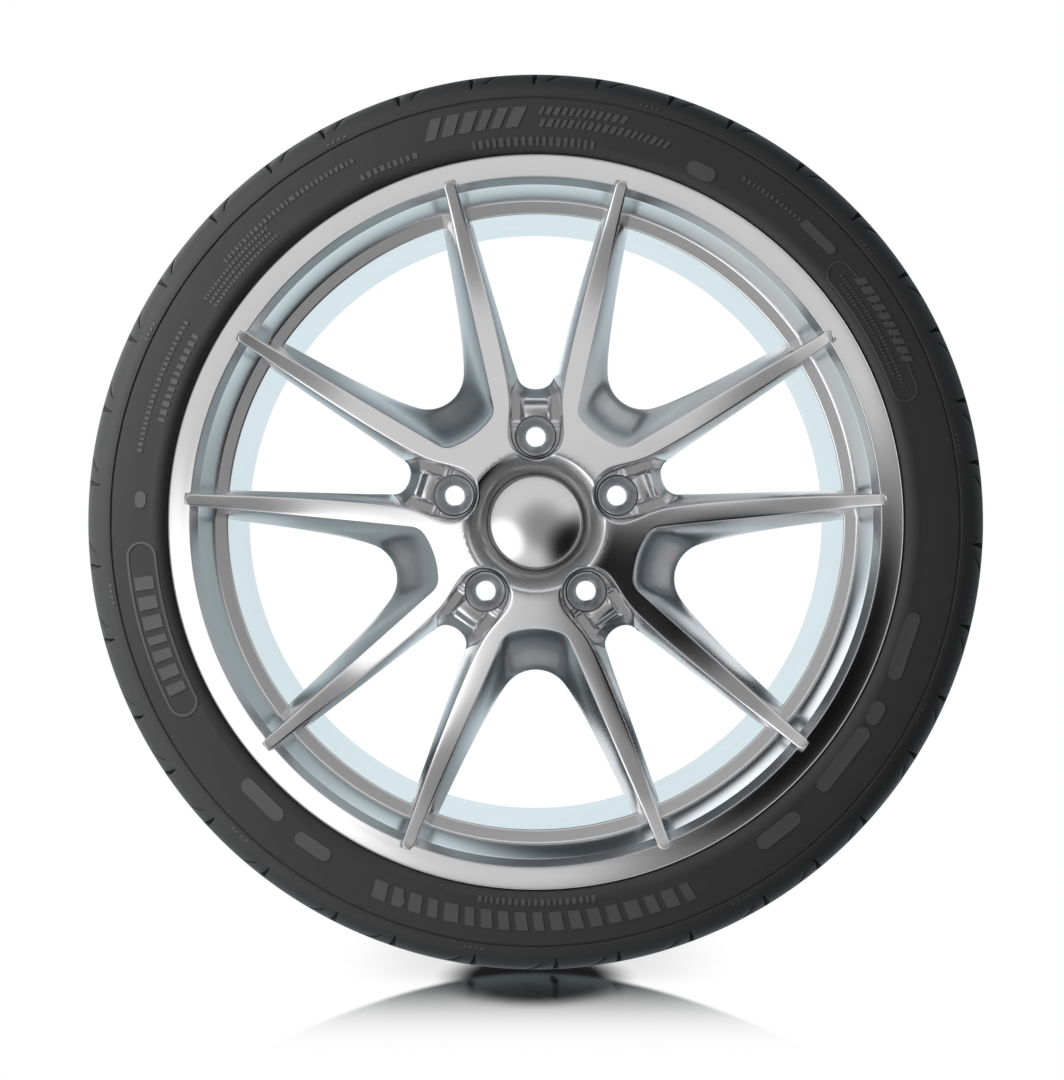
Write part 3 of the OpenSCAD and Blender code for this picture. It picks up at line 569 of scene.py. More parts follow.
def addLean(piece):
    # A vector per point that the paint adds to its normal. Spokes' front: outwards, by radius, times how
    # squarely the point faces forward. Cove: outwards, by depth. Spokes' sides: forward, as much as is missing
    # to a share by depth. Lip and the barrel's inside: from the normal to one that is aimed by radius or at
    # the axis.
    w, mesh = wheel, piece.data
    points, normals = np.empty(len(mesh.vertices) * 3), np.empty(len(mesh.vertices) * 3)
    mesh.vertices.foreach_get("co", points)
    mesh.vertex_normals.foreach_get("vector", normals)
    x, y, v = points.reshape(-1, 3).T / mm
    normals = normals.reshape(-1, 3)
    facing = normals[:, 1]
    r, d = np.hypot(x, v), y - lipFront
    behind = d - frontDepth(np.stack([x, v], -1))
    outwards = np.stack([x / r, 0 * r, v / r], -1)
    inwards = -(normals[:, 0] * x + normals[:, 2] * v) / r
    across = np.abs(normals[:, 0] * v - normals[:, 2] * x) / r

    turn = np.degrees(np.arctan2(x, v)) % 72
    fromNose = np.minimum(np.abs(turn - w["noseHeading"]), np.abs(turn - 72 + w["noseHeading"]))
    pastNose = np.clip(r - w["noseReach"] + w["noseRadius"], 0, None)
    onNose = np.hypot(pastNose, r * np.sin(np.radians(fromNose))) < w["noseRadius"] + 0.1
    amount = np.interp(r, w["leanRadii"], w["leanSlopes"]) * smooth(-facing, 0.35, 0.7)
    amount *= (1 - smooth(np.abs(behind), 1.2, 2.4)) * ((r < w["spokesWithin"]) | onNose)
    free = np.abs(amount) < 1e-6
    within = lambda value, low, high: (value > low) & (value < high)
    onCove = free & within(d, *w["coveRange"]) & within(r, *w["coveRadii"]) & (inwards > 0.9)
    amount = np.where(onCove, np.interp(d, w["coveDepths"], w["coveSlopes"]), amount)
    lean = outwards * amount[:, None]

    onSide = free & within(r, *w["sideRadii"]) & (behind > 0.8) & within(facing, -0.93, 0.3)
    missing = np.clip(np.interp(behind, w["sideDepths"], w["sideLeans"]) + facing, 0, 1)
    lean[:, 1] -= onSide * missing * 1.1
    onLip = free * smooth(r, *w["lipFrom"]) * (d < w["lipBack"]) * (facing < -0.02) * (across < 0.35)
    tilt = np.radians(np.interp(r, w["lipRadii"], w["lipTilts"]))
    aim = outwards * np.sin(tilt)[:, None] - np.cos(tilt)[:, None] * [0, 1, 0]
    lean += onLip[:, None] * (aim - normals)
    inBarrel = free & (d > w["barrelBehind"]) & (inwards > 0.5) & (r > w["barrelWithin"])
    lean += inBarrel[:, None] * (-outwards - normals)
    mesh.attributes.new("lean", "FLOAT_VECTOR", "POINT").data.foreach_set("vector", lean.ravel())


addLean(wheelPiece)


# Tyre

tyre = {
    "pitches": 38,
    "blocks": (8.5, 10.1, 11.1),                 # three block lengths that follow each other
    "crownRadius": 950,
    "treadEdge": 93,                             # from the middle to the shoulder's edge
    "grooves": ((-66, 8.5), (-23, 10.5), (21, 10.5), (62, 9.5)),
    "grooveDepth": 7.2,
    "notchDepth": 13,
    "notchHalf": 3.2,                            # half width of a notch at the shoulder's edge
    "slitHalf": 1.3,
    "slitDepth": 4.5,
    "slashDepth": 5.8,
    "columns": 20,                               # round one pitch
    "coarse": 4,                                 # fine columns to one column of the sidewall
}
middle = -lipFront                               # the wheel's middle plane, behind the lip's front
outerRadius = (tyreHigh.z - tyreLow.z) / 2 / mm - 0.01


def crownAt(y):
    # The crown's circle across the tread, lowest at the shoulders
    c = tyre["crownRadius"]
    return outerRadius - c + np.sqrt(c * c - np.asarray(y, float) ** 2)


def pitchStarts():
    # Running sum of the block lengths in their order, scaled to one whole turn
    i = np.arange(tyre["pitches"])
    order = np.floor(i * 0.618 * 3 + np.floor(i / 5)).astype(int) % 3
    length = np.array(tyre["blocks"])[order]
    length = length * 360 / length.sum()
    return np.r_[0, np.cumsum(length)[:-1]], length


def sidewallRun():
    # Outer side from the bead's toe over heel, flange and rim rib to the fine line, as (radius, distance
    # from the middle plane)
    toe = 18
    return chained(
        [[seatRadius - (toe - heelRound) * math.tan(math.radians(5)) + 0.25, halfWidth - toe]],
        arcRun([seatRadius + heelRound, halfWidth - heelRound], heelRound - 0.25, 180, 90, 5),
        arcRun([lipRadius - flangeRound, halfWidth + flangeRound], flangeRound + 0.25, -90, -8, 8),
        [[lipRadius + 0.6, 117.2], [lipRadius + 1.0, 118.2]],
        bezierRun([[272.7, 119.4], [274.4, 122.2], [277.6, 123.48], [281.5, 123.5]], 8),
        bezierRun([[281.5, 123.5], [287, 122.9], [297, 123.2], [311.3, 121.65]], 13),
        [[311.75, 121.2], [311.9, 120.6], [312.9, 120.5], [313.0, 121.1]])


def shoulderRun(count):
    # Outer side from the fine line over the shoulder to the tread's edge
    edge = tyre["treadEdge"]
    top = crownAt(edge)
    return bezierRun([[313.45, 121.5], [325.3, 120.5], [top - 1.6, edge + 14], [top, edge]], count)


def treadRun():
    # Tread from the outer shoulder's edge to the inner one: ribs with rows about 3.6 mm apart and grooves
    # of six rows
    edge, deep = tyre["treadEdge"], tyre["grooveDepth"]
    rows, last = [], -edge
    for g, width in tyre["grooves"] + ((None, None),):
        stop = edge if g is None else g - width / 2
        y = np.linspace(last, stop, max(3, round((stop - last) / 3.6)) + 1)
        rows.append(np.stack([crownAt(y), y], -1))
        if g is not None:
            half = width / 2
            y = g + np.array([-half + 1.7, -half + 2.4, half - 2.4, half - 1.7])
            rows.append(np.stack([crownAt(y) - deep + np.array([0.7, 0, 0, 0.7]), y], -1))
            last = g + half
    return np.concatenate(rows)


def treadColumns(rows, start, length):
    # Angles of one pitch's columns on each row: the start line, the notch and the slit are given by their
    # places across the tread, and the columns between them are shared out evenly
    y, r = rows[:, 1], rows[:, 0]
    toDegrees = 180 / np.pi / r
    stations = [-124, -115.5, -98, -93, -80, -55.2, -36.8, -13, 7, 36.6, 53.4, 70, 93, 124]
    lead = np.interp(y, stations, [-1.6, -1.6, -1.6, -1.6, -1.6, -1.3, -1.0, 0.3, 0, -2.0, -1.5, -1.7, -1.7, -1.7])
    notch = np.interp(y, stations, [-0.2, -0.2, 0, 0, 0.3, 0.2, -0.2, 1.5, 1.0, -1.2, -0.7, -0.2, 0, 0.2])
    slit = np.interp(y, stations, [0.9, 1.5, 4.1, 4.2, 4.4, 5.0, 1.0, 7.4, 3.6, 0.3, 3.7, 4.0, 4.0, 4.0])
    notchHalf, slitHalf = [np.maximum(q, 0.8) * toDegrees for q in cutWidths(rows)]
    gap = 0.45 * toDegrees
    knots = np.array([0, 3, 4, 5, 6, 7, 9, 10, 11, 12, 13, 20])
    cut = lambda at, half: [at - half - gap, at - half, at, at + half, at + half + gap]
    values = np.stack([lead, *cut(notch, notchHalf), *cut(slit, slitHalf), lead + length], -1)
    k = np.arange(tyre["columns"])
    right = np.clip(np.searchsorted(knots, k, side="right"), 1, len(knots) - 1)
    f = (k - knots[right - 1]) / (knots[right] - knots[right - 1])
    return start + values[:, right - 1] * (1 - f) + values[:, right] * f


def notchShare(rows):
    # Depth of the shoulder notches below the surface, ending in a point on the shoulder rib
    foot = crownAt(tyre["treadEdge"]) - tyre["notchDepth"]
    y = rows[:, 1]
    reach = smooth(np.abs(y), 78, 85) * (1 - smooth(y, -105, -101.5) * (1 - smooth(y, -98, -95)))
    return np.clip(rows[:, 0] - foot, 0, None) * reach


def slitShare(rows):
    # Lens shapes, zero at both ends: the slit on the outer shoulder and the slashes on the ribs
    y = rows[:, 1]
    out = np.zeros(len(y))
    for low, high, deep in ((-115.5, -97, tyre["slitDepth"]), (-55.2, -36.8, tyre["slashDepth"]),
                            (-13, 7, tyre["slashDepth"]), (36.6, 53.4, tyre["slashDepth"])):
        q = np.clip((y - low) / (high - low), 0, 1)
        out += deep * np.clip(4 * q * (1 - q), 0, 1) ** 0.6
    return out


def cutWidths(rows):
    # Half widths in mm: a notch opens in step with its depth, a slit in step with its lens
    notch, slit = notchShare(rows) / tyre["notchDepth"], slitShare(rows) / tyre["slitDepth"]
    return notch * tyre["notchHalf"], slit * tyre["slitHalf"]


def around(rows, angles):
    # Rows of (radius, distance from the middle plane, outer side negative) set at their columns' angles
    return polar(rows[..., 0], np.radians(angles), middle + rows[..., 1])


def bridged(fine, coarse, ratio):
    # Polygons between a fine row of points and a coarse one: ratio short edges against one long edge
    n = len(coarse) - 1
    faces = [[k * ratio + j for j in range(ratio + 1)] + [len(fine) + k + 1, len(fine) + k] for k in range(n)]
    return np.concatenate([fine, coarse]), faces


print("tyre")
outer = sidewallRun()
line = shoulderRun(22)
rear = shoulderRun(14)
fineRows = chained(line * [1, -1], treadRun(), rear[::-1])
starts, lengths = pitchStarts()
angles = np.concatenate([treadColumns(fineRows, s, l) for s, l in zip(starts, lengths)], 1)
angles = np.concatenate([angles, angles[:, :1] + 360], 1)
k = np.arange(angles.shape[1]) % tyre["columns"]
inwards = rightOf(fineRows)
inwards *= np.sign(np.sum(inwards * ([300, 0] - fineRows), axis=1))[:, None]
notch, slit = notchShare(fineRows), slitShare(fineRows)
fine = np.broadcast_to(fineRows[:, None], angles.shape + (2,)).copy()
# the notch lies on the pitch's column 5 and the slit on column 11; the columns beside them sink a little
fine[:, k == 5, 0] -= notch[:, None]
fine[:, (k == 4) | (k == 6), 0] -= 0.25 * smooth(notch, 0.3, 1.5)[:, None]
fine[:, k == 11] += (slit[:, None] * inwards)[:, None]
fine[:, (k == 10) | (k == 12)] += (0.2 * smooth(slit, 0.2, 1.5)[:, None] * inwards)[:, None]
treadGrid = around(fine, angles)


def sidewallGrid(rows, edgeAngles):
    # Coarse rows from the fine line inwards; their columns start on every fourth fine column and even out
    even = np.linspace(0, 360, len(edgeAngles)) + edgeAngles[0]
    share = smooth(np.arange(len(rows)), 1, 9)[:, None]
    return around(rows[:, None], edgeAngles * (1 - share) + even * share)


step = tyre["coarse"]
frontAngles, rearAngles = angles[0, ::step], angles[-1, ::step]
frontGrid = sidewallGrid((outer * [1, -1])[::-1], frontAngles)
rearGrid = sidewallGrid(outer[::-1], rearAngles)
edge = tyre["treadEdge"]
liner = chained(
    outer[:1],
    bezierRun([[254.5, 89], [264, 96], [271.5, 110], [287, 116.4]], 5),
    bezierRun([[293, 117], [305, 117], [318, 111], [crownAt(edge) - 13.6, edge + 4]], 6),
    np.stack([crownAt([edge - 4, 60, 30]) - 13, [edge - 4, 60, 30]], -1))
liner = np.concatenate([liner * [1, -1], [[crownAt(0) - 13, 0]], liner[::-1]])
linerGrid = around(liner[:, None], np.linspace(0, 360, len(frontAngles)) + frontAngles[0])
rearGrid[-1] = linerGrid[-1]
tyrePiece = meshPiece(
    "tyre_moulded",
    [treadGrid, frontGrid, rearGrid, linerGrid,
     bridged(treadGrid[0], frontGrid[0], step), bridged(treadGrid[-1], rearGrid[0], step)],
    "wheel_body", ["tyre"], sharp=30)


# Raised marks on the sidewall: bars, pads, frames and ticks

marks = {
    "height": 0.45,
    "sunk": 0.5,
    "footSpread": 1.04,
    # radius from and to, clock angle from and to, bar and gap in degrees, slant in degrees per mm
    "rows": (
        (290.5, 305.5, -15.5, -1, 1.55, 0.75, 0.1), (299.5, 305.5, 0.6, 13.5, 0.62, 0.42, 0.08),
        (290.5, 296.5, 0.6, 19.5, 0.62, 0.42, 0.08), (276.8, 283, -9.5, 9.5, 0.55, 0.5, 0),
        (287, 300.5, 157, 206, 1.7, 0.95, -0.03), (277.5, 282, 171, 189, 0.5, 0.45, 0),
        (281, 285.5, -27, -17.5, 0.6, 0.5, 0), (296, 299.5, -37, -26, 0.4, 0.4, 0),
        (282.5, 287.5, 285, 299, 0.7, 0.5, 0), (291.5, 294, 304, 318, 0.35, 0.3, 0),
        (287, 289.5, 304, 318, 0.35, 0.3, 0), (282.6, 285.1, 304, 318, 0.35, 0.3, 0),
        (296, 299.5, 310, 323, 0.4, 0.4, 0), (294, 297.5, 280, 300, 0.4, 0.4, 0),
        (293.5, 296.5, 31, 43, 0.42, 0.4, 0), (294, 301.5, 53, 67, 1, 0.45, 0.09),
        (287, 289.2, 51, 70, 0.3, 0.25, 0), (282.8, 285, 52, 68, 0.3, 0.25, 0),
        (284.5, 289, 108.5, 112.5, 0.55, 0.5, 0), (284.5, 288.5, 122.5, 132, 0.55, 0.45, 0),
        (284, 289.5, 222, 227, 0.8, 0.6, 0), (287.5, 292, 212.5, 216.5, 0.6, 0.5, 0),
        (284, 298, 244.5, 263.5, 1.6, 0.95, 0)),
    # pads with round ends: radius of the middle line, half width, clock angle from and to
    "pads": (
        (285, 5.4, 23, 27.5), (286.5, 5.2, 103.5, 113.8), (286.5, 5.2, 117.5, 121.2), (286.5, 5.2, 121.9, 133.4),
        (289, 5.4, 138, 145.5), (289.5, 5, 211.5, 217.5), (286.8, 5.4, 220.5, 228.5), (291, 4, 272, 274.5),
        (295.2, 3.6, 41.5, 48), (296, 3.6, 199, 200.5)),
    # the same, and half the line's width
    "frames": ((291, 10.2, 241, 267, 0.9), (288, 9, 49, 72, 0.45)),
    # clock angle from and to; then radii, and bar, gap and slant as in the rows
    "ticks": ((14, 17.2), (49, 52), (78, 81), (115, 118), (150, 153), (187, 190), (222, 225), (259, 262),
              (295, 298), (331, 334)),
    "tickRadii": (315.5, 317.3),
    "tickBars": (0.35, 0.45, 0.1),
}


sideRun = np.concatenate([outer, line])
sideRun = sideRun[np.argmax(sideRun[:, 0] > 276):]


def onSidewall(radius, angle, lift):
    # A point of the sidewall, lifted off it by lift
    return polar(radius, np.radians(angle), middle - np.interp(radius, *sideRun.T) - lift)


def skinned(points, closed):
    # Closed sections skinned one to the next; the last one meets the first, or both ends get a face
    n, k = points.shape[:2]
    faces = [[i * k + j, i * k + (j + 1) % k, (i + 1) % n * k + (j + 1) % k, (i + 1) % n * k + j]
             for i in range(n if closed else n - 1) for j in range(k)]
    if not closed:
        faces += [list(range(k)), list(range((n - 1) * k, n * k))]
    return points.reshape(-1, 3), faces


def strip(low, high, angles):
    # Raised strip: at each station a section from the low to the high radius, wider at its sunk foot
    share = even(3)
    radius = low[:, None] * (1 - share) + high[:, None] * share
    mean = radius.mean(1, keepdims=True)
    turn = angles if angles.ndim == 2 else np.repeat(angles[:, None], 4, 1)
    wide = (radius - mean) * marks["footSpread"] + mean
    foot = onSidewall(wide[:, [3, 0]], turn[:, [3, 0]], -marks["sunk"])
    return skinned(np.concatenate([onSidewall(radius, turn, marks["height"]), foot], 1), False)


def barRow(low, high, first, last, bar, gap, slant):
    # Bars side by side, each leaning by slant times its distance from the row's middle
    pieces, at = [], first
    while at + bar <= last + 1e-6:
        width = bar * (0.75 + 0.5 * rng.random())
        radius = np.linspace(low, high, 4)
        turn = np.linspace(at, at + width, 3)[:, None] + slant * (radius - (low + high) / 2)
        pieces.append(strip(np.full(3, low), np.full(3, high), turn))
        at += width + gap
    return pieces


def roundPad(centre, half, first, last):
    # Pad whose ends are half circles: half width times the square root of 1 - q^2 within half of each end
    length = math.radians(last - first) * centre
    end = half * (1 - np.cos(np.linspace(0.12, np.pi / 2, 6)))
    s = np.r_[end, length - end[::-1]]
    q = np.clip(np.minimum(s, length - s) / half, 0, 1)
    width = half * np.sqrt(1 - (1 - q) ** 2)
    return strip(centre - width, centre + width, first + np.degrees(s / centre))


def frameLine(centre, half, first, last, thick):
    # Closed line round a pad's outline: two straights joined by half circles, skinned with a flat section
    turn = math.radians(last - first) * centre - 2 * half
    t = np.linspace(-np.pi / 2, np.pi / 2, 12)
    cap, rise = half * np.cos(t), half * np.sin(t)
    across = np.linspace(half, turn + half, 22)[1:-1]
    path = np.concatenate([
        np.stack([turn + half + cap, rise], -1), np.stack([across[::-1], across * 0 + half], -1),
        np.stack([half - cap, -rise], -1), np.stack([across, across * 0 - half], -1)])
    away = path - np.stack([np.clip(path[:, 0], half, turn + half), path[:, 1] * 0], -1)
    away /= np.linalg.norm(away, axis=1, keepdims=True)
    up, down = marks["height"], -marks["sunk"]
    sides = []
    for offset, lift in ((thick, down), (thick, up), (-thick, up), (-thick, down)):
        p = path + away * offset
        sides.append(onSidewall(centre + p[:, 1], first + np.degrees(p[:, 0] / centre), lift))
    return skinned(np.stack(sides, 1), True)


print("sidewall marks")
shells = [piece for row in marks["rows"] for piece in barRow(*row)]
shells += [roundPad(*pad) for pad in marks["pads"]]
shells += [frameLine(*frameValues) for frameValues in marks["frames"]]
for ends in marks["ticks"]:
    shells += barRow(*marks["tickRadii"], *ends, *marks["tickBars"])
markPiece = meshPiece("tyre_marks", shells, "wheel_body", sharp=30, weld=0.0005)


# Centre cap

cap = {
    "radius": 34.3,
    "rise": 10.5,
    "edgeHeight": 3.0,
    "edgeRound": 0.7,
    "shell": 2.6,
    "seat": 30.65,             # back of the cap's face behind the lip's front
    "legs": 8,
    "legRadius": 29.8,
    "legThickness": 2.4,
    "legLength": 16,
    "gapWidth": 8,
}


def capSection():
    # A sphere's cap over a short edge, rounded between them, and the same dome inside; (radius, d)
    c = cap
    sphere = (c["radius"] ** 2 + c["rise"] ** 2) / (2 * c["rise"])
    edge = c["seat"] - c["edgeHeight"]
    apex = edge - c["rise"]
    dome = lambda r, thick: apex + sphere - np.sqrt((sphere - thick) ** 2 - r * r)
    r = np.linspace(0, c["radius"] - c["edgeRound"], 44)
    outside = np.stack([r, dome(r, 0)], -1)
    corner = bezierRun([outside[-1], [c["radius"] - 0.1, edge - 0.15], [c["radius"], edge + 0.7]], 6)
    inner = c["legRadius"] - c["legThickness"]
    q = np.linspace(inner, 0, 14)
    rim = [[c["radius"], c["seat"] - 0.3], [c["radius"] - 0.3, c["seat"]], [inner, c["seat"]]]
    return chained(outside, corner, rim, np.stack([q, dome(q, c["shell"])], -1))


def capLegs():
    # Legs between the gaps: a section with a hook at its end, carried round a short arc and closed at its ends
    c = cap
    out, inn = c["legRadius"], c["legRadius"] - c["legThickness"]
    start, foot = c["seat"] - 1, c["seat"] + c["legLength"]
    ring = foot - 3.5
    section = np.array([
        [inn, start], [out - 0.5, start], [out - 0.5, ring - 3], [out - 0.1, ring - 1.4], [out, ring - 0.9],
        [out, ring + 0.9], [out - 0.2, ring + 1.3], [out - 1.4, foot], [inn - 0.8, foot], [inn - 1, foot - 0.3],
        [inn - 1, ring + 1.3], [inn, ring + 1.2], [inn, start]])
    half = 180 / c["legs"] - math.degrees(math.asin(c["gapWidth"] / 2 / out))
    body = np.repeat(section[:, None], 11, 1)
    body[:, [0, -1]] = section[:-1].mean(0)
    turn = np.linspace(-half, half, 9)
    turn = np.r_[turn[0], turn, turn[-1]]
    starts = np.arange(c["legs"]) * 360 / c["legs"]
    return [polar(body[..., 0], np.radians(start + turn), body[..., 1]) for start in starts]


print("centre cap")
capPiece = meshPiece("cap_domed", [turnedGrid(capSection(), 144)] + capLegs(), "centre_cap_body", ["centre_cap"],
                     sharp=40)


# Finishes

finishes = {
    # colour and the one it drifts to, roughness from and to, metallic, what differs from finish's own values,
    # and the nodes that carry it
    "satin silver paint": ((0.80, 0.80, 0.81), (0.776, 0.776, 0.7857), (0.17, 0.24), 1.0, {}, ["wheel"]),
    "domed cap silver": ((0.80, 0.80, 0.80), (0.78, 0.78, 0.78), (0.2, 0.24), 1.0, {}, ["centre_cap"]),
    "moulded tyre rubber": (
        (0.022, 0.022, 0.0225), (0.0275, 0.0275, 0.028125), (0.46, 0.58), 0.0,
        {"bump": 0.15, "cloudScale": 14.0, "grainScale": 1500.0, "Specular_IOR_Level": 0.36}, ["tyre"]),
    "raised marks": ((0.046, 0.046, 0.047), (0.0552, 0.0552, 0.0564), (0.40, 0.5), 0.0,
                     {"bump": 0.1, "cloudScale": 14.0, "grainScale": 1500.0}, []),
    "seal rubber": ((0.02, 0.02, 0.02), (0.028, 0.028, 0.028), (0.5, 0.6), 0.0, {},
                    ["valve_grommet", "valve_core_seal", "valve_cap_seal"]),
    "bright steel": ((0.56, 0.57, 0.58), (0.5, 0.5, 0.5), (0.22, 0.34), 1.0, {"cloudScale": 120.0},
                     ["cap_spring_ring", "valve_washer", "valve_spring"]),
    "turned alloy": ((0.66, 0.67, 0.68), (0.6, 0.61, 0.62), (0.24, 0.36), 1.0, {"cloudScale": 150.0},
                     ["valve_stem", "valve_nut"]),
    "brass": ((0.72, 0.54, 0.26), (0.64, 0.47, 0.22), (0.25, 0.38), 1.0, {"cloudScale": 200.0},
              ["valve_core", "valve_pin"]),
    "black plastic": ((0.025, 0.025, 0.027), (0.032, 0.032, 0.034), (0.4, 0.5), 0.0, {"cloudScale": 90.0},
                      ["valve_cap"]),
}
# painted shade: a dark ring round each bolt's boss stands in for the shadow in the groove between boss and pocket
# wall
grooveShade = {"radius": 0.0152, "half": 0.0008, "color": (0.09, 0.09, 0.09)}     # in metres, round each bolt's axis


def fed(tree, node, inputs):
    # Gives a node its inputs by name or number: a socket is linked, any other value is set
    for key, value in inputs.items():
        if isinstance(value, bpy.types.NodeSocket):
            tree.links.new(value, node.inputs[key])
        else:
            node.inputs[key].default_value = value
    return node


def wired(tree, kind, inputs=(), **settings):
    # New shader node with its settings and inputs
    node = tree.nodes.new("ShaderNode" + kind)
    for key, value in settings.items():
        setattr(node, key, value)
    return fed(tree, node, dict(inputs))


def computed(tree, operation, *values):
    # One Math node over sockets and numbers
    return wired(tree, "Math", enumerate(values), operation=operation).outputs[0]


def mixed(tree, factor, below, above, kind="RGBA"):
    # One Mix node; below and above are sockets or fixed values, and a fixed colour has three parts
    first, result = {"RGBA": (6, 2), "FLOAT": (2, 0)}[kind]
    below, above = [(*value, 1) if isinstance(value, tuple) else value for value in (below, above)]
    return wired(tree, "Mix", {0: factor, first: below, first + 1: above}, data_type=kind).outputs[result]


def ranged(tree, value, start, end):
    # Smooth step from 0 at start to 1 at end
    low, high = sorted((start, end))
    rising = float(start < end)
    inputs = {"Value": value, "From Min": low, "From Max": high, "To Min": 1 - rising, "To Max": rising}
    return wired(tree, "MapRange", inputs, interpolation_type="SMOOTHSTEP").outputs["Result"]


def newGroup(name, values, results):
    # Node group: its inputs with the values they start at, its outputs with their kinds
    group = bpy.data.node_groups.new(name, "ShaderNodeTree")
    for key, value in values.items():
        kind = "NodeSocketColor" if isinstance(value, tuple) else "NodeSocketFloat"
        group.interface.new_socket(name=key, in_out="INPUT", socket_type=kind).default_value = value
    for key, kind in results.items():
        group.interface.new_socket(name=key, in_out="OUTPUT", socket_type="NodeSocket" + kind)
    return group, group.nodes.new("NodeGroupInput").outputs, group.nodes.new("NodeGroupOutput")


def unevenGroup():
    # Group: cloudy variation between two values and between two colours, and the fine height that goes with it
    grey = (0.5, 0.5, 0.5, 1)
    group, given, result = newGroup(
        "uneven finish",
        {"Color": grey, "Other Color": grey, "Low": 0.2, "High": 0.3, "Cloud Scale": 20.0, "Grain Scale": 900.0},
        {"Color": "Color", "Roughness": "Float", "Height": "Float"})
    place = wired(group, "TexCoord").outputs["Object"]
    cloud, grain = [
        wired(group, "TexNoise", {"Vector": place, "Scale": given[scale], "Detail": detail}).outputs["Fac"]
        for scale, detail in (("Cloud Scale", 3), ("Grain Scale", 2))]
    fed(group, result, {
        "Color": mixed(group, cloud, given["Color"], given["Other Color"]),
        "Roughness": mixed(group, cloud, given["Low"], given["High"], "FLOAT"),
        "Height": grain})
    return group


def leanGroup():
    # Group: the surface's normal plus the mesh's own lean vector, made unit length
    group, _, result = newGroup("leaning normal", {}, {"Normal": "Vector"})
    own = wired(group, "Attribute", attribute_name="lean").outputs["Vector"]
    turned = wired(
        group, "VectorTransform", {0: own}, vector_type="VECTOR", convert_from="OBJECT", convert_to="WORLD")
    total = wired(group, "VectorMath", {0: turned.outputs[0], 1: wired(group, "NewGeometry").outputs["Normal"]})
    unit = wired(group, "VectorMath", {0: total.outputs[0]}, operation="NORMALIZE")
    fed(group, result, {"Normal": unit.outputs[0]})
    return group


def grooveShadeGroup():
    # Painted shade round the bolt seats. Distance from the nearest bolt hole's axis: root of r^2 + b^2 - 2 r b
    # cos(angle folded into 36 degrees); the mask is 1 where that distance is the radius of the painted groove shade
    # and falls to 0 within its half width, and it is 0 behind the wells' floor
    group, given, result = newGroup(
        "seam round bolt seats", {"Radius": grooveShade["radius"], "Half Width": grooveShade["half"]}, {"Mask": "Float"})
    calc = lambda operation, *values: computed(group, operation, *values)
    x, y, z = wired(group, "SeparateXYZ", {0: wired(group, "TexCoord").outputs["Object"]}).outputs
    bolt = wheel["boltRadius"] * mm
    folded = calc("PINGPONG", calc("ARCTAN2", x, z), math.radians(armTurn))
    square = calc("ADD", calc("MULTIPLY", x, x), calc("MULTIPLY", z, z))
    cross = calc("MULTIPLY", calc("MULTIPLY", calc("SQRT", square), 2 * bolt), calc("COSINE", folded))
    distance = calc("SQRT", calc("SUBTRACT", calc("ADD", square, bolt * bolt), cross))
    off = calc("DIVIDE", calc("ABSOLUTE", calc("SUBTRACT", distance, given["Radius"])), given["Half Width"])
    onFront = calc("LESS_THAN", y, (lipFront + wheel["wellDepth"]) * mm)
    fed(group, result, {"Mask": calc("MULTIPLY", ranged(group, off, 1.0, 0.3), onFront)})
    return group


def finish(name, color, other, roughness, metallic, bump=0.0, cloudScale=20.0, grainScale=900.0, **fixed):
    # One Principled surface whose colour and roughness drift between two values; fixed values go straight on it
    material = bpy.data.materials.new(name)
    material.use_nodes = True
    tree = material.node_tree
    drift = wired(tree, "Group", node_tree=uneven)
    fed(tree, drift, {"Color": (*color, 1), "Other Color": (*other, 1), "Low": roughness[0], "High": roughness[1],
                      "Cloud Scale": cloudScale, "Grain Scale": grainScale})
    surface = {key.replace("_", " "): value for key, value in fixed.items()}
    surface |= {"Metallic": metallic, "Base Color": drift.outputs["Color"], "Roughness": drift.outputs["Roughness"]}
    if bump:
        relief = {"Strength": bump, "Distance": 0.0002, "Height": drift.outputs["Height"]}
        surface["Normal"] = wired(tree, "Bump", relief).outputs["Normal"]
    fed(tree, tree.nodes["Principled BSDF"], surface)
    return material


def addGrooveShadeAndLean(material):
    # Lays the painted groove shade's dark colour over the paint's own, and gives the paint the leaning normal
    tree = material.node_tree
    shader = tree.nodes["Principled BSDF"]
    plain = shader.inputs["Base Color"].links[0].from_socket
    mask = wired(tree, "Group", node_tree=grooveShadeGroup()).outputs["Mask"]
    leaning = wired(tree, "Group", node_tree=leanGroup()).outputs["Normal"]
    fed(tree, shader, {"Base Color": mixed(tree, mask, plain, grooveShade["color"]), "Normal": leaning})


print("finishes")
uneven = unevenGroup()
paints = {}
for name, (color, other, roughness, metallic, changes, nodeNames) in finishes.items():
    paints[name] = finish(name, color, other, roughness, metallic, **changes)
    for node in [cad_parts[nodeName] for nodeName in nodeNames]:
        node.data.materials.clear()
        node.data.materials.append(paints[name])
addGrooveShadeAndLean(paints["satin silver paint"])
for piece, name in ((wheelPiece, "satin silver paint"), (capPiece, "domed cap silver"),
                    (tyrePiece, "moulded tyre rubber"), (markPiece, "raised marks")):
    piece.data.materials.append(paints[name])


# Studio

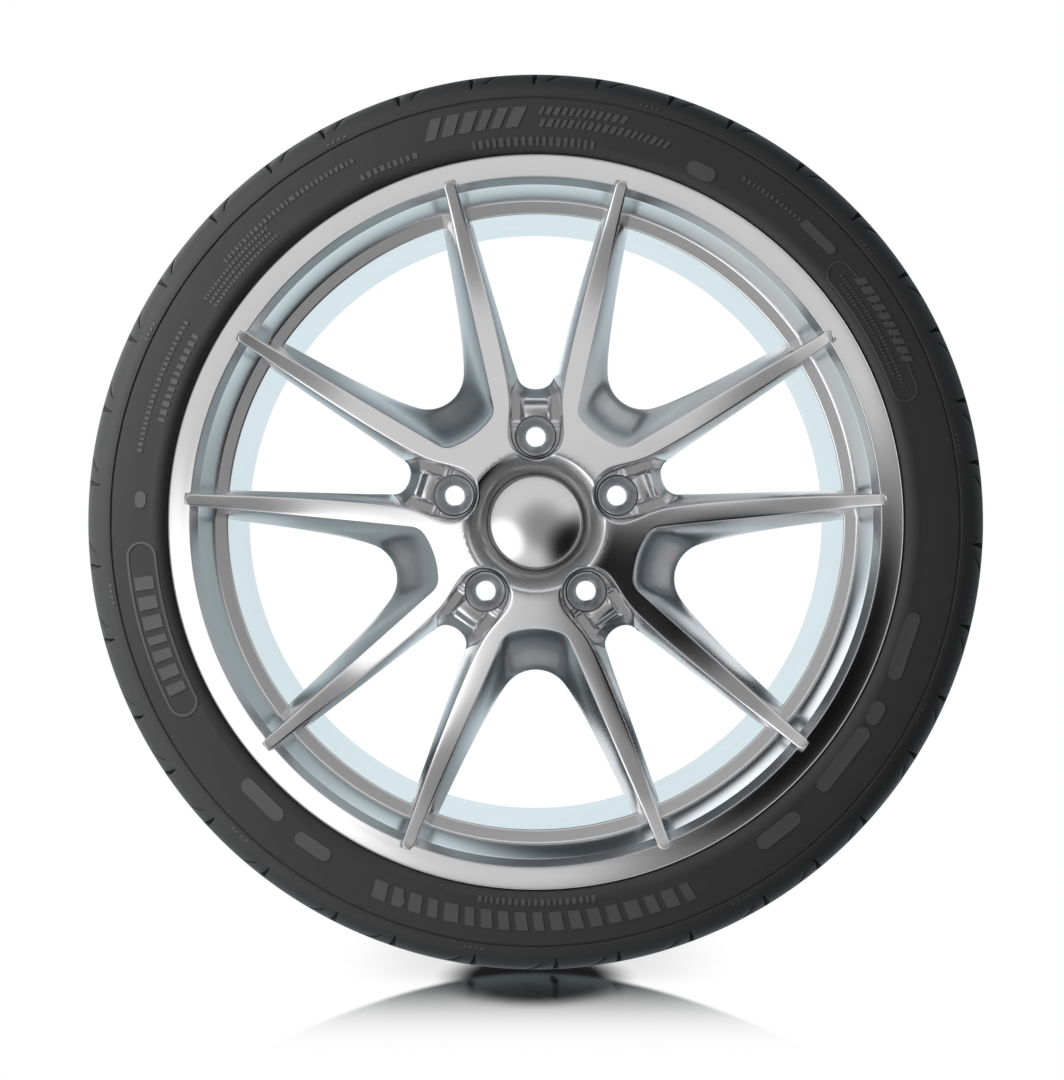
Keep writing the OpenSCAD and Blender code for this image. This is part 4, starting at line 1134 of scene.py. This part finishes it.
studio = {
    "cameraDistance": 1.5,         # from the lip's front
    "focalShare": 2038 / 1080,     # focal length over the picture's height
    "axisRight": 3.7 / 1080,       # wheel's axis right of the picture's middle
    "axisUp": 18 / 1080,
    "groundLevel": -0.33975,
    "fill": (0.30, 0.30, 0.30),    # even light on matt surfaces
    "lampPlace": (-0.80, -0.42, 0.34),
    "lampSize": 0.35,
    "lampPower": 19,
    # floor: a painted contact shadow at the tyre's foot (half axes, and from where to where it fades), painted
    # shade darker still close to the tyre, and a reflection that fades out towards the camera and beside a strip
    # as wide as the square root of mirrorWidth times the distance
    "contactShadowHalves": (0.075, 0.1, 1e6),
    "contactShadowFade": (0.6, 1.05),
    "contactShadowColor": (0.012, 0.012, 0.012),
    "nearShadeReach": 0.035,
    "nearShadeFade": (-2.0, 1.0),
    "mirrorColor": (0.95, 0.95, 0.95, 1),
    "mirrorRoughness": 0.2,
    "mirrorEnds": (-0.40, -0.105),
    "mirrorPower": 3.2,
    "mirrorWidth": 0.14,
    "mirrorSides": (-0.078, -0.096),
    # world for reflections: direction, inner and outer angle, colour; later ones lie over earlier ones
    "sky": ((0.22, 0.27, 0.29), (
        ((0, 1, 0), 34, 66, (0.80, 0.93, 0.97)),
        ((0.7, 0.7, 0.2), 12, 34, (0.36, 0.42, 0.43)),
        ((0, -1, 0), 60, 84, (0.75, 0.745, 0.745)),
        ((0.142, -0.985, -0.10), 0, 46, (0.31, 0.308, 0.308)),
        ((-0.78, 0.44, -0.45), 16, 40, (0.60, 0.63, 0.63)),
        ((-0.52, 0.44, 0.74), 30, 46, (0.04, 0.045, 0.05)),
        ((-0.82, 0.22, 0.47), 20, 28, (0.02, 0.022, 0.025)),
        ((-0.70, -0.59, -0.404), 20, 33, (1.5, 1.49, 1.49)),
        ((0.749, -0.469, -0.468), 18, 47, (0.006, 0.006, 0.006)),
        ((-0.573, 0.766, 0.292), 8, 13, (1.3, 1.35, 1.38)),
        ((-0.396, 0.766, 0.507), 8, 13, (1.3, 1.35, 1.38)))),
}
white = (1.0, 1.0, 1.0)
print("studio")
scene = bpy.context.scene
scene.view_settings.view_transform = "Standard"
cameraData = bpy.data.cameras.new("camera")
cameraData.sensor_fit = "VERTICAL"
cameraData.sensor_height = cameraData.sensor_width = 36
cameraData.lens = 36 * studio["focalShare"]
cameraData.shift_x, cameraData.shift_y = -studio["axisRight"], -studio["axisUp"]
cameraData.clip_end = 60
camera = bpy.data.objects.new("camera", cameraData)
camera.location = (0, lipFront * mm - studio["cameraDistance"], 0)
camera.rotation_euler = (math.pi / 2, 0, 0)
scene.collection.objects.link(camera)
scene.camera = camera


def surroundings():
    # World by direction: white for the camera, and for the object soft lamps and dark cards
    world = bpy.data.worlds.new("studio")
    scene.world = world
    world.use_nodes = True
    tree = world.node_tree
    toward = wired(tree, "TexCoord").outputs["Generated"]
    color, patches = studio["sky"]
    for direction, inner, outer, patch in patches:
        dot = wired(tree, "VectorMath", {0: toward, 1: Vector(direction).normalized()}, operation="DOT_PRODUCT")
        edges = [math.cos(math.radians(angle)) for angle in (outer, inner)]
        color = mixed(tree, ranged(tree, dot.outputs["Value"], *edges), color, patch)
    path = wired(tree, "LightPath").outputs
    color = mixed(tree, path["Is Glossy Ray"], studio["fill"], color)
    fed(tree, tree.nodes["Background"], {"Color": mixed(tree, path["Is Camera Ray"], color, white)})


def floorMaterial():
    # Pale floor: for the camera white, with a painted shadow where the tyre stands close above, and a reflection
    # that fades out before the tyre; mirror-like surfaces see the studio instead
    s = studio
    material = bpy.data.materials.new("pale floor")
    material.use_nodes = True
    tree = material.node_tree
    tree.nodes.remove(tree.nodes["Principled BSDF"])
    place = wired(tree, "TexCoord").outputs["Object"]
    x, y = wired(tree, "SeparateXYZ", {0: place}).outputs[:2]
    fade = lambda value, ends: ranged(tree, value, *ends)
    both = lambda factor, one, other: wired(
        tree, "MixShader", {0: factor, 1: one.outputs[0], 2: other.outputs[0]})

    # painted shadow: ambient occlusion and an ellipse round the tyre's foot darken the camera's white towards the
    # shadow colour
    near = wired(tree, "AmbientOcclusion", {"Distance": s["nearShadeReach"]}, samples=12).outputs["AO"]
    scales = [1 / half for half in s["contactShadowHalves"]]
    away = wired(tree, "VectorMath", {0: place, 1: scales, 2: (0, 1, 0)}, operation="MULTIPLY_ADD").outputs[0]
    away = wired(tree, "VectorMath", {0: away}, operation="LENGTH").outputs["Value"]
    light = computed(tree, "MULTIPLY", fade(away, s["contactShadowFade"]), fade(near, s["nearShadeFade"]))
    pale = wired(tree, "Emission", {"Color": mixed(tree, light, s["contactShadowColor"], white)})

    mirror = wired(tree, "BsdfGlossy", {"Color": s["mirrorColor"], "Roughness": s["mirrorRoughness"]})
    ends = computed(tree, "POWER", fade(y, s["mirrorEnds"]), s["mirrorPower"])
    strip = computed(tree, "MULTIPLY_ADD", y, s["mirrorWidth"], computed(tree, "MULTIPLY", x, x))
    sides = fade(strip, [s["mirrorWidth"] * share for share in s["mirrorSides"]])
    seen = both(computed(tree, "MULTIPLY", ends, sides), pale, mirror)

    path = wired(tree, "LightPath").outputs
    matt = wired(tree, "BsdfDiffuse", {"Color": (0.8, 0.8, 0.8, 1)})
    bounced = both(path["Is Glossy Ray"], matt, wired(tree, "BsdfTransparent"))
    shown = both(path["Is Camera Ray"], bounced, seen)
    fed(tree, tree.nodes["Material Output"], {"Surface": shown.outputs[0]})
    return material


def ground():
    # One large quad that the tyre stands on
    z = studio["groundLevel"]
    mesh = bpy.data.meshes.new("floor")
    mesh.from_pydata([(-14, -9, z), (14, -9, z), (14, 40, z), (-14, 40, z)], [], [(0, 1, 2, 3)])
    mesh.materials.append(floorMaterial())
    quad = bpy.data.objects.new("floor", mesh)
    scene.collection.objects.link(quad)


def sideLamp():
    # Soft lamp to the left that reaches matt surfaces only
    light = bpy.data.lights.new("side lamp", "AREA")
    light.size, light.energy = studio["lampSize"], studio["lampPower"]
    lamp = bpy.data.objects.new("side lamp", light)
    lamp.location = studio["lampPlace"]
    lamp.rotation_euler = (-Vector(studio["lampPlace"])).to_track_quat("-Z", "Y").to_euler()
    lamp.visible_glossy = lamp.visible_camera = False
    scene.collection.objects.link(lamp)


surroundings()
ground()
sideLamp()
